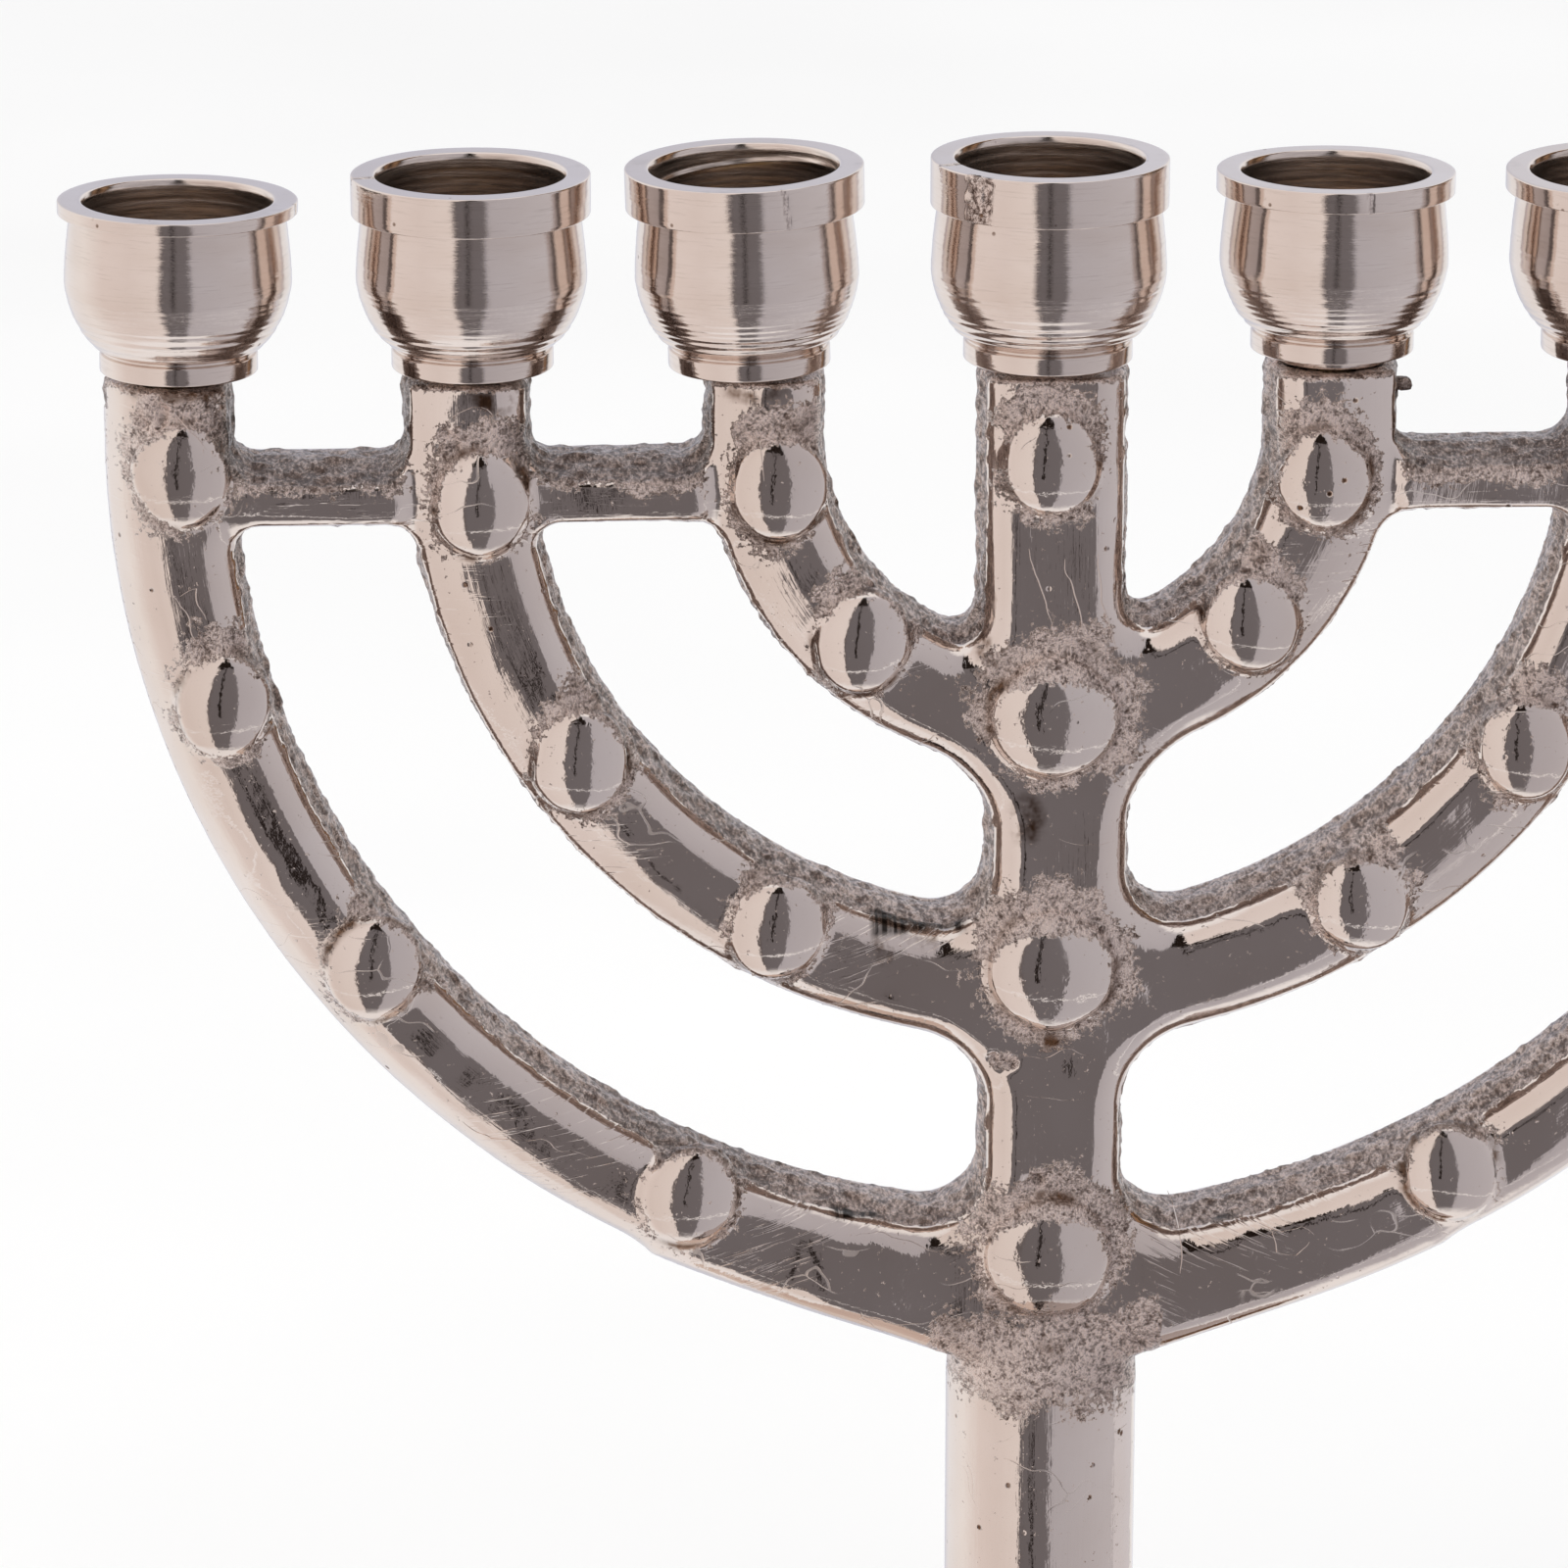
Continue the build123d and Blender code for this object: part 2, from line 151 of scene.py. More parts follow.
# Hair-thin scratches on the front, each a path of x and z
SCRATCHES = (
    ((-2.1, 120.1), (-1.3, 117.0), (-0.1, 113.9)),
    ((0.5, 119.2), (1.3, 116.2), (2.5, 113.0)),
    ((3.1, 119.6), (3.5, 115.5), (4.7, 111.8)),
    ((-66.1, 131.7), (-64.9, 130.2), (-63.6, 129.0)),
    ((-45.3, 74.6), (-43.0, 73.2), (-39.4, 73.3), (-35.6, 72.0)),
    ((3.2, 79.6), (1.2, 79.9), (-0.6, 79.3), (-2.4, 79.6)),
    ((2.6, 76.0), (0.2, 75.8), (-1.9, 76.3)),
    ((-24.4, 130.2), (-22.4, 128.6), (-22.2, 126.2)),
    ((44.0, 84.5), (47.2, 86.0), (51.2, 85.4), (54.5, 86.6)),
    ((16.6, 65.2), (18.2, 64.4), (19.6, 65.0), (20.8, 64.2)),
    ((17.4, 64.6), (17.8, 62.9), (19.6, 62.6), (20.4, 63.6)),
    ((9.8, 66.2), (10.3, 63.4), (10.1, 61.2)),
    ((-14.9, 65.0), (-11.8, 64.6), (-8.6, 63.6), (-5.8, 63.4)),
    ((-66.4, 117.6), (-65.2, 115.4), (-64.0, 113.2)),
    ((-65.9, 117.4), (-64.6, 117.9), (-64.1, 115.6)),
    ((0.6, 96.9), (2.6, 96.4), (4.6, 96.7)),
    ((-45.0, 131.0), (-43.6, 131.6), (-42.0, 131.0), (-41.2, 131.6)),
)
HAIR_RADIUS = 0.055
HAIR_PITCH = 0.35
HAIR_WANDER = 0.35
HAIR_WANDER_LENGTH = 1.3
HAIR_SIDES = 6
HAIR_SETTLE = 40             # steps that bring a hair down onto the face

# Cups, from the left end to the right end
CUP_X = (-65.6, -43.6, -22.8, -0.3, 21.2, 43.2, 65.8)
CUP_HEIGHTS = (13.0, 14.7, 15.2, 15.4, 13.7, 13.9, 14.4)
FLANGE_HEIGHTS = (0.95, 3.0, 3.1, 3.6, 1.6, 1.5, 2.5)
BELLY_RADII = (8.5, 8.65, 8.4, 8.87, 8.6, 8.55, 8.5)
FOOT_RADII = (5.92, 6.08, 6.1, 6.38, 6.15, 6.05, 6.0)
SEAT_HEIGHTS = (0.4, 0.4, 0.3, 0.4, 0.8, 0.5, 0.4)
CUP_LEANS = ((-1.4, 0.8), (-0.8, 0.0), (-0.2, -1.5), (-0.9, 0.2), (-1.7, 0.4), (0.3, -0.5), (-0.4, 0.6))
CUP_STEPS = 256
CRACKS = ((2, -82.0), (4, -72.0))               # cup number, degrees from its front towards +X
SCARS = ((3, 17.0), (5, 9.0), (1, 78.0))
PITTED_FLANGES = ((4, -41.0),)
RIM_RADIUS = 8.95
NECK_NARROWING = 0.45
BELLY_HEIGHT = 6.9
BELLY_FULLNESS = 1.6
NECK_FULLNESS = 1.5
FOOT_HEIGHT = 1.4
GROOVE = 0.3
GROOVE_RINGS = 0.035
RING_PITCH = 0.62
LEDGE_CUP = 3                # this bore has a bright ledge, lower on its left side
LEDGE_DEPTH = 1.5
LEDGE_TILT = 0.5
LEDGE_REACH = 0.16
LEDGE_WIDTH = 0.16
CRACK_DEPTH = 0.35
CRACK_WIDTH = 0.11
SCAR_DEPTH = 0.16
SCAR_WIDTH = 0.16
FLANGE_PIT_DEPTH = 0.3
FLANGE_WAVE = 0.05
SEAT_RADIUS = 4.2
BORE_RADIUS = 7.0
BORE_BOTTOM = 5.4
FLOOR_RADIUS = 5.0
FLOOR_HEIGHT = 3.0
CLEARANCE_RADIUS = 2.2

# Pedestal and collar, as in the CAD model
PEDESTAL_RADIUS = 39.0
PEDESTAL_TOP = 23.0
RIM_BAND = 3.2
RIM_STEP = 36.4
BELL_CURVE = ((34.8, 4.6), (26.0, 9.6), (14.6, 14.4), (9.6, 21.6))
HOLLOW_CURVE = ((35.8, 0.0), (30.5, 4.4), (21.0, 8.6), (9.4, 12.6))
STUD_HOLE_RADIUS = 3.15
HUB_BOTTOM = 12.6
COLLAR_BORE = 5.05
COLLAR_RADIUS = 10.4
COLLAR_WAIST = 8.6
COLLAR_BEAD = 2.6
CURVE_STEPS = 14

# Camera
LOOK_AT = Vector((-20.2, 0.0, 100.0)) * MM
CAMERA_DISTANCE = 0.6        # metres
CAMERA_AZIMUTH = math.radians(-3.2)
CAMERA_ELEVATION = math.radians(18.0)
LENS = 180.0
SENSOR = 36.0

# Floor, in metres
FLOOR_REACH = 4.0
FLOOR_LEVEL = -0.00005


# ---- numbers

class Noise:
    """Smooth seeded noise between -1 and 1 in three dimensions."""

    def __init__(self, seed):
        rng = np.random.default_rng(seed)
        self.order = rng.permutation(256)
        self.values = rng.uniform(-1, 1, 256)

    def corner(self, x, y, z):
        order = self.order
        return self.values[order[(order[(order[x & 255] + y) & 255] + z) & 255]]

    def __call__(self, x, y, z, length):
        x, y, z = np.broadcast_arrays(x / length, y / length, z / length)
        cells = [np.floor(v).astype(np.int64) for v in (x, y, z)]
        ease = []
        for v, cell in zip((x, y, z), cells):
            t = v - cell
            ease.append(t * t * t * (t * (t * 6 - 15) + 10))
        total = 0
        for i in (0, 1):
            for j in (0, 1):
                for k in (0, 1):
                    weight = 1
                    for side, e in zip((i, j, k), ease):
                        weight = weight * (e if side else 1 - e)
                    total = total + weight * self.corner(cells[0] + i, cells[1] + j, cells[2] + k)
        return total


noise = Noise(SEED)


def smooth_step(low, high, v):
    """0 before low, 1 past high and smooth between; low may be the larger."""
    t = np.clip((v - low) / (high - low), 0, 1)
    return t * t * (3 - 2 * t)


def round_max(a, b, radius):
    """The inside of both a and b, with a round outer corner."""
    corner = np.hypot(np.maximum(a + radius, 0), np.maximum(b + radius, 0))
    return np.minimum(-radius, np.maximum(a, b)) + corner


def smooth_min(a, b, blend):
    """The inside of a or b, run together."""
    h = np.clip(0.5 + 0.5 * (b - a) / blend, 0, 1)
    return b + (a - b) * h - blend * h * (1 - h)


# ---- casting

def side_outline(x, z, branches, slot_edge, upper_edge, lower_edge):
    """Signed distance to one half of the outline, mirrored to x > 0; negative is metal."""
    end, middle, inner = branches
    below = np.hypot(x, z - OUTSIDE_ARC_HEIGHT) - end[0]
    outer = np.where(z < OUTSIDE_ARC_HEIGHT, below, x - end[0])
    slope = math.atan2(SKIRT_TOP - SKIRT_BOTTOM, SKIRT_REACH - COLUMN_RADIUS)
    skirt = (SKIRT_BOTTOM - z) * math.cos(slope) + (x - COLUMN_RADIUS) * math.sin(slope)
    skirt = np.maximum(skirt, x - SKIRT_REACH - SKIRT_BLEND)
    outer = smooth_min(outer, skirt, SKIRT_BLEND)

    def window(edge, edge_height, hub, hub_height, stem_edge):
        opening = round_max(np.hypot(x, z - edge_height) - edge, stem_edge - x, WINDOW_END_RADIUS)
        opening = round_max(opening, hub - np.hypot(x, z - hub_height), WINDOW_END_RADIUS)
        return round_max(opening, z - BAR_BOTTOM, CORNER_RADIUS)

    def gap(edge, hub):
        walls = np.maximum(x - edge, hub - x)
        return round_max(walls, BAR_TOP - z, CORNER_RADIUS)

    below = np.hypot(x, z - ARC_HEIGHT) - inner[1]
    slot = round_max(np.where(z < ARC_HEIGHT, below, x - inner[1]), slot_edge - x, CROTCH_RADIUS)
    openings = (
        window(end[1], END_ARC_HEIGHT, middle[0], MIDDLE_ARC_HEIGHT, lower_edge),
        window(middle[1], ARC_HEIGHT, inner[0], ARC_HEIGHT, upper_edge),
        gap(end[1], middle[0]),
        gap(middle[1], inner[0]),
        slot,
    )
    solid = outer
    for opening in openings:
        solid = np.maximum(solid, -opening)
    return solid, outer


def outline(x, z):
    """Signed distance to the outline, and to its outermost edge alone."""
    left = side_outline(-x, z, LEFT_BRANCHES, SLOT_EDGES[0], UPPER_EDGES[0], LOWER_EDGES[0])
    right = side_outline(x, z, RIGHT_BRANCHES, SLOT_EDGES[1], UPPER_EDGES[1], LOWER_EDGES[1])
    return [np.where(x < 0, a, b) for a, b in zip(left, right)]


def sideways(x, z):
    """1 where a branch's outer edge faces sideways, 0 where it faces down."""
    reach = np.hypot(x, np.minimum(z - ARC_HEIGHT, 0))
    return smooth_step(0.30, 0.95, np.abs(x) / np.maximum(reach, 1))


def on_bar(x, z, margin=0.0):
    """1 on the bars between the branch tops, and in the gaps over them."""
    share = 0
    for side, branches in ((-1, LEFT_BRANCHES), (1, RIGHT_BRANCHES)):
        for far, near in zip(branches, branches[1:]):
            before = smooth_step(far[1] + margin + 1.0, far[1] + margin - 1.0, side * x)
            after = smooth_step(near[0] - margin - 1.0, near[0] - margin + 1.0, side * x)
            share = np.maximum(share, before * after)
    return share * smooth_step(BAR_BOTTOM - 1.5, BAR_BOTTOM, z)


def outward(x, z):
    """1 on the outer half of a branch, 0 on its inner half, on the stem and on the bars."""
    reach = np.hypot(x, np.minimum(z - ARC_HEIGHT, 0))
    share = 0
    for (outer_left, inner_left), (outer_right, inner_right) in zip(LEFT_BRANCHES, RIGHT_BRANCHES):
        middle = np.where(x < 0, outer_left + inner_left, outer_right + inner_right) / 2
        half = np.where(x < 0, outer_left - inner_left, outer_right - inner_right) / 2
        share = np.maximum(share, smooth_step(-0.5, 0.7, reach - middle) * (reach < middle + half + 0.6))
    return share * smooth_step(8, 17, np.abs(x)) * sideways(x, z)


def all_bosses():
    """Every boss as (x, z, lean, half width, half length, rise, sag)."""
    rows = []
    small = (BOSS_WIDTH / 2, BOSS_LENGTH / 2, BOSS_RISE, BOSS_SAG)
    large = (LARGE_BOSS_SIZE / 2, LARGE_BOSS_SIZE / 2, LARGE_BOSS_RISE, LARGE_BOSS_SAG)
    for side, branches, angle_rows in ((-1, LEFT_BRANCHES, LEFT_BOSSES), (1, RIGHT_BRANCHES, RIGHT_BOSSES)):
        for (outer, inner), angles in zip(branches, angle_rows):
            middle = (outer + inner) / 2 - BOSS_INSET
            for angle in angles:
                a = math.radians(angle)
                x = side * middle * math.cos(a)
                rows.append((x, ARC_HEIGHT - middle * math.sin(a), -side * a * BOSS_LEAN, *small))
    rows.append((STEM_SMALL_BOSS_X, STEM_SMALL_BOSS, 0, *small))
    for z in STEM_LARGE_BOSSES:
        rows.append((0, z, 0, *large))
    return rows


BOSSES = all_bosses()


def nearest_boss(x, z):
    """Share of the way out to the nearest boss's edge, and that boss's sizes and offsets."""
    best = np.full(np.broadcast(x, z).shape, 1e9)
    facts = [np.zeros_like(best) for _ in range(5)]
    waver = 1 + BOSS_WAVER * noise(x, 1.0, z, BOSS_WAVER_LENGTH)
    for bx, bz, lean, width, length, rise, sag in BOSSES:
        dx, dz = x - bx, z - bz
        u = dx * math.cos(lean) - dz * math.sin(lean)
        v = dx * math.sin(lean) + dz * math.cos(lean)
        q = np.hypot(u / width, v / length) * waver
        nearer = q < best
        best = np.where(nearer, q, best)
        for fact, value in zip(facts, (width, rise, sag, u, v)):
            fact[...] = np.where(nearer, value, fact)
    return best, facts


def rough_patch(x, z):
    """Where the face was left as cast: over each boss, and all round the large ones; also the shoulder."""
    q, (_, rise, _, u, v) = nearest_boss(x, z)
    large = rise > (BOSS_RISE + LARGE_BOSS_RISE) / 2
    ragged = sum(height * noise(x, place, z, length) for height, place, length in RAGGED)
    up = np.maximum(v / (np.hypot(u, v) + 1e-6), 0)
    small_reach = PATCH_REACH[0] + PATCH_REACH[1] * up ** 1.5
    large_reach = LARGE_PATCH_REACH[0] + LARGE_PATCH_REACH[1] * up
    reach = np.where(large, large_reach, small_reach)
    start = np.where(large, 1.0 - LARGE_PATCH_START * up ** 2, 1.0 - PATCH_START * up)
    within = smooth_step(0.42, -0.30, q - reach - ragged)
    around = within * smooth_step(-0.14, 0.14, q - start + ragged * 0.3)
    height, half_height, half_width = SHOULDER_PATCH
    off = np.abs(z - height) / half_height
    shoulder = smooth_step(0.55, -0.35, off - 0.75 - ragged) * (np.abs(x) < half_width)
    bar = on_bar(x, z) * smooth_step(BAR_TOP - 2.4, BAR_TOP - 0.5, z + 2.6 * ragged)
    return np.maximum.reduce([around, shoulder, bar]), q


def field(x, y, z):
    """Signed distance to the smooth casting, negative inside."""
    solid, outer = outline(x, z)
    away = outward(x, z)
    depth = np.maximum(-solid - WALL_DEPTH * math.tan(WALL_DRAFT), 0)
    bar = on_bar(x, z)
    inset = INNER_INSET + (OUTER_INSET - INNER_INSET) * away
    inset = inset + (BAR_INSET - inset) * bar
    drop = CROWN_DROP + (BAR_DROP - CROWN_DROP) * bar
    crown = drop * np.maximum(1 - depth / inset, 0) ** 2
    ripple = noise(x, 5.0, z, RIPPLE_LENGTH)
    height = WAVE_HEIGHT + (BAR_WAVE - WAVE_HEIGHT) * bar
    wave = height * noise(x, 0.0, z, WAVE_LENGTH) + RIPPLE_HEIGHT * ripple
    patch, _ = rough_patch(x, z)
    face = FACE_DEPTH - crown + wave - WAVE_HEIGHT
    front = face + PATCH_HEIGHT * patch * (crown < 0.6)
    wall = (solid + np.abs(y) * math.tan(WALL_DRAFT)) * math.cos(WALL_DRAFT)
    top = np.where(y < 0, -y - front, y - face)
    beside = smooth_step(COLUMN_RADIUS, COLUMN_RADIUS + 6, np.abs(x))
    perimeter = smooth_step(-1.5, 1.5, outer - solid + 1.2) * beside
    perimeter = perimeter * (0.15 + 0.85 * sideways(x, z))
    casting = round_max(wall, top, EDGE_RADIUS + (PERIMETER_RADIUS - EDGE_RADIUS) * perimeter)
    q, (width, rise, sag, _, _) = nearest_boss(x, z)
    bulge = np.minimum(q, 1.5) ** 2
    sunk = sag * (DOME_SQUARE * bulge + (1 - DOME_SQUARE) * bulge ** 2)
    dome = -y - (FACE_DEPTH + rise - sunk + DOME_RIPPLE * ripple)
    boss = round_max((q - 1) * width, np.maximum(dome, y + FACE_DEPTH - BOSS_SINK), BOSS_EDGE_RADIUS)
    casting = smooth_min(casting, boss, BOSS_BLEND)
    narrowing = smooth_step(SHOULDER_BOTTOM, SHOULDER_TOP, z)
    radius = COLUMN_RADIUS - (COLUMN_RADIUS - SHOULDER_TOP_RADIUS) * narrowing
    worn = np.hypot(x - WORN_X, y + COLUMN_RADIUS - WORN_DEPTH - WORN_RADIUS) - WORN_RADIUS
    column = round_max(np.hypot(x, y) - radius, np.where(y < 0, worn, -COLUMN_RADIUS), COLUMN_EDGE_RADIUS)
    column = np.maximum(column, z - SHOULDER_TOP - 1)
    casting = smooth_min(casting, column, SHOULDER_BLEND)
    nub = np.sqrt((x - NUB[0]) ** 2 + (y - NUB[1]) ** 2 + (z - NUB[2]) ** 2) - NUB_RADIUS
    casting = smooth_min(casting, nub, NUB_BLEND)
    casting = round_max(casting, z - BRANCH_TOP, EDGE_RADIUS)
    return np.maximum(casting, COLUMN_BOTTOM - z)


def surface_net(axes, values):
    """Quads over the zero level of values on the grid."""
    inside = values < 0
    shape = np.array(values.shape) - 1
    steps = [(i, j, k) for i in (0, 1) for j in (0, 1) for k in (0, 1)]

    def corner(array, step):
        i, j, k = step
        return array[i:i + shape[0], j:j + shape[1], k:k + shape[2]]

    count = sum(corner(inside, step).astype(np.int8) for step in steps)
    mixed = (count > 0) & (count < 8)
    cells = np.argwhere(mixed)
    number = np.full(shape, -1, np.int32)
    number[mixed] = np.arange(len(cells))
    total = np.zeros((len(cells), 3))
    hits = np.zeros((len(cells), 1))
    for a in steps:
        for b in steps:
            if sum(b) - sum(a) != 1 or any(q < p for p, q in zip(a, b)):
                continue
            va = corner(values, a)[mixed]
            vb = corner(values, b)[mixed]
            crossed = (va < 0) != (vb < 0)
            t = np.where(crossed, va / np.where(crossed, va - vb, 1), 0)[:, None]
            point = np.array(a) + (np.array(b) - np.array(a)) * t
            total += point * crossed[:, None]
            hits += crossed[:, None]
    places = cells + total / hits
    verts = np.stack([axis[0] + places[:, n] * (axis[1] - axis[0]) for n, axis in enumerate(axes)], 1)
    quads = []
    for n in range(3):
        inner = tuple(slice(1, -1) if m != n else slice(None) for m in range(3))
        start = inside[tuple(slice(0, -1) if m == n else slice(None) for m in range(3))][inner]
        stop = inside[tuple(slice(1, None) if m == n else slice(None) for m in range(3))][inner]
        crossing = np.argwhere(start != stop)
        first = start[tuple(crossing.T)]
        base = crossing + np.array([0 if m == n else 1 for m in range(3)])
        p, q = [m for m in range(3) if m != n]
        corners = []
        for dp, dq in ((0, 0), (-1, 0), (-1, -1), (0, -1)):
            cell = base.copy()
            cell[:, p] += dp
            cell[:, q] += dq
            corners.append(number[tuple(cell.T)])
        ring = np.stack(corners, 1)
        flip = first if n != 1 else ~first
        ring[~flip] = ring[~flip][:, ::-1]
        quads.append(ring)
    return verts, np.concatenate(quads)


def slopes(x, y, z):
    """The field and its gradient at each point."""
    step = SLOPE_STEP
    here = field(x, y, z)
    gradient = np.stack([
        field(x + step, y, z) - field(x - step, y, z),
        field(x, y + step, z) - field(x, y - step, z),
        field(x, y, z + step) - field(x, y, z - step),
    ], 1) / (2 * step)
    return here, gradient


def mesh_object(name, verts, faces, attributes=()):
    """A mesh object from vertices in millimetres."""
    mesh = bpy.data.meshes.new(name)
    mesh.from_pydata((np.asarray(verts) * MM).tolist(), [], [tuple(f) for f in np.asarray(faces).tolist()])
    for key, values in attributes:
        layer = mesh.attributes.new(key, "FLOAT", "POINT")
        layer.data.foreach_set("value", np.asarray(values, np.float32))
    mesh.polygons.foreach_set("use_smooth", [True] * len(mesh.polygons))
    mesh.update()
    obj = bpy.data.objects.new(name, mesh)
    bpy.context.scene.collection.objects.link(obj)
    return obj


def hair(path):
    """A hair-thin burr that follows the face along the path, as points and faces."""
    bends = [Vector(p) for p in path]
    rows = []
    for a, b in zip(bends, bends[1:]):
        count = max(2, int((b - a).length / HAIR_PITCH))
        rows += [a + (b - a) * n / count for n in range(count)]
    rows.append(bends[-1])
    x = np.array([p[0] for p in rows])
    z = np.array([p[1] for p in rows])
    x = x + HAIR_WANDER * noise(x, 3.0, z, HAIR_WANDER_LENGTH)
    z = z + HAIR_WANDER * noise(x, 8.0, z, HAIR_WANDER_LENGTH)
    y = np.full(len(x), -FACE_DEPTH - LARGE_BOSS_RISE - 0.5)
    for _ in range(HAIR_SETTLE):
        y = y + np.clip(field(x, y, z), -0.2, 0.2)
    out = HAIR_RADIUS * np.sin(np.linspace(0.08, math.pi - 0.08, len(x))) ** 0.5
    points = []
    for n in range(HAIR_SIDES):
        turn = 2 * math.pi * n / HAIR_SIDES
        points.append(np.stack([x + out * math.cos(turn), y + out * math.sin(turn), z], 1))
    points = np.stack(points, 1).reshape(-1, 3)
    faces = []
    for row in range(len(x) - 1):
        for n in range(HAIR_SIDES):
            ahead = (n + 1) % HAIR_SIDES
            start = row * HAIR_SIDES
            faces.append((start + n, start + ahead, start + HAIR_SIDES + ahead, start + HAIR_SIDES + n))
    return points, np.array(faces)


def spot(x, y, z, row, full):
    """1 inside an oval spot on the front, out to the share full of its half sizes, then less."""
    middle_x, middle_z, reach_x, reach_z = row
    away = np.hypot((x - middle_x) / reach_x, (z - middle_z) / reach_z)
    return smooth_step(1.1, full, away) * (y < -3)


def casting():
    """The branch frame with its crowned faces, sand-cast walls and patches."""
    reach = RIGHT_BRANCHES[0][0] + 1
    axes = (
        np.arange(-reach, reach, GRID),
        np.arange(-FACE_DEPTH - LARGE_BOSS_RISE - 1, COLUMN_RADIUS + 1, GRID),
        np.arange(COLUMN_BOTTOM - 1, BRANCH_TOP + 1, GRID),
    )
    x = axes[0][:, None, None]
    y = axes[1][None, :, None]
    z = axes[2][None, None, :]
    verts, faces = surface_net(axes, field(x, y, z))
    for _ in range(SETTLING):
        here, gradient = slopes(*verts.T)
        size = np.maximum((gradient ** 2).sum(1, keepdims=True), 0.25)
        move = np.clip(here[:, None] * gradient / size, -SETTLING_REACH, SETTLING_REACH)
        verts = verts - move
    _, gradient = slopes(*verts.T)
    normal = gradient / np.maximum(np.linalg.norm(gradient, axis=1, keepdims=True), 1e-6)
    x, y, z = verts.T
    solid, outer = outline(x, z)
    patch, q = rough_patch(x, z)
    ragged = 0.5 * noise(x, y, z, 1.7)
    upright = np.hypot(normal[:, 0], normal[:, 2])
    perimeter = smooth_step(-1.0, 0.5, outer - solid) * smooth_step(6, 12, np.abs(x)) * (z < 131)
    wall = smooth_step(0.91, 0.975, upright + 0.03 * ragged) * smooth_step(56, 60, z)
    wall = wall * (1 - perimeter) * smooth_step(BRANCH_TOP, BRANCH_TOP - 0.4, z)
    face = patch * (y < 0)
    shoulder = patch * (z < 60) * (np.abs(x) < 10)
    cut = smooth_step(BRANCH_TOP - 0.5, BRANCH_TOP - 0.1, z)
    rough = np.clip(np.maximum.reduce([wall, face, shoulder, cut]), 0, 1)
    grain = noise(x, y, z, GRAIN_LENGTHS[0]) + 0.9 * noise(x, y, z, GRAIN_LENGTHS[1])
    share = np.where(cut > 0.5, CUT_GRAIN, np.where(wall > 0.3, 1, PATCH_GRAIN))
    verts = verts + normal * (GRAIN_HEIGHT * rough * (grain - 0.3) * share)[:, None]
    broken = smooth_step(0.0, 0.35, noise(x, 7.0, z, 4.5))
    crevice = smooth_step(0.45, 0.0, np.abs(q - 1.03) * 3) * broken * (y < -4)
    for row in STAINS:
        crevice = np.maximum(crevice, spot(x, y, z, row, 0.5))
    comb = np.zeros(len(verts))
    for spot_x, spot_z, reach_x, reach_z, slope in COMBS:
        aside = np.abs(x - spot_x) / reach_x
        above = np.abs(z - spot_z - slope * (x - spot_x)) / reach_z
        comb = np.maximum(comb, smooth_step(1.1, 0.9, aside) * smooth_step(1.2, 0.8, above) * (y < -3))
    pitted = 0
    for row in PITS:
        pitted = np.maximum(pitted, spot(x, y, z, row, 0.6))
    pits = PIT_DEPTH * pitted * np.maximum(noise(x, y, z, PIT_LENGTH) + 0.25, 0)
    verts = verts - normal * pits[:, None]
    rough = np.maximum(rough, pitted)
    stem = smooth_step(9, 6, np.abs(x))
    across = np.hypot(x, np.minimum(z - ARC_HEIGHT, 0))
    along = np.arctan2(np.minimum(z - ARC_HEIGHT, 0), np.abs(x)) * across + np.maximum(z - ARC_HEIGHT, 0)
    # Darker at the tops of the bars, down in the gaps between the branch tops: grime and painted shade; and
    # in patches on walls that face up: grime.
    grime_and_shade = on_bar(x, z, 1.5) * smooth_step(BAR_TOP - 1.5, BAR_TOP, z + ragged)
    grime_and_shade = grime_and_shade * (0.75 + 0.25 * noise(x, y, z, 2.0))
    low = smooth_step(-0.1, -0.5, noise(x, 20.0, z, 14.0)) * wall * (normal[:, 2] > 0.5)
    grime_and_shade = np.maximum(grime_and_shade, 0.6 * low)
    hairs = [hair(path) for path in SCRATCHES]
    count = len(verts)
    for points, ring in hairs:
        verts = np.concatenate([verts, points])
        faces = np.concatenate([faces, ring + count])
        count += len(points)
    spare = count - len(rough)
    dome = smooth_step(1.1, 0.95, q) * (y < -4)
    named = (
        ("rough", rough), ("crevice", crevice), ("stem", stem), ("across", across), ("along", along),
        ("grime_and_shade", grime_and_shade), ("comb", comb), ("wall", wall), ("dome", dome),
    )
    attributes = [(key, np.concatenate([values, np.zeros(spare)])) for key, values in named]
    return mesh_object("branch_casting", verts, faces, attributes)


# ---- turned pieces

def lathe(name, profile, steps=192, attributes=(), reshape=None):
    """A closed turned piece from (radius, height) points in millimetres, round the Z axis."""
    radii, heights = np.array(profile).T
    rows = len(radii)
    turn = np.arange(steps) * 2 * math.pi / steps
    verts = np.stack([
        (radii[:, None] * np.cos(turn)).ravel(),
        (radii[:, None] * np.sin(turn)).ravel(),
        np.repeat(heights, steps),
    ], 1)
    row, column = np.meshgrid(np.arange(rows), np.arange(steps), indexing="ij")
    following = (row + 1) % rows
    ahead = (column + 1) % steps
    faces = np.stack([
        row * steps + column, row * steps + ahead, following * steps + ahead, following * steps + column,
    ], 2).reshape(-1, 4)
    spread = [(key, np.repeat(values, steps)) for key, values in attributes]
    if reshape:
        verts, worn = reshape(verts)
        spread.append(("rough", worn))
    return mesh_object(name, verts, faces, spread)


def along(points, pitch):
    """Points every pitch along the straight runs between the given ones, and past each corner."""
    rows = []
    for (r_a, z_a), (r_b, z_b) in zip(points, points[1:]):
        count = max(1, int(math.hypot(r_b - r_a, z_b - z_a) / pitch))
        for n in range(count):
            share = n / count
            rows.append((r_a + (r_b - r_a) * share, z_a + (z_b - z_a) * share))
    rows.append(points[-1])
    return rows


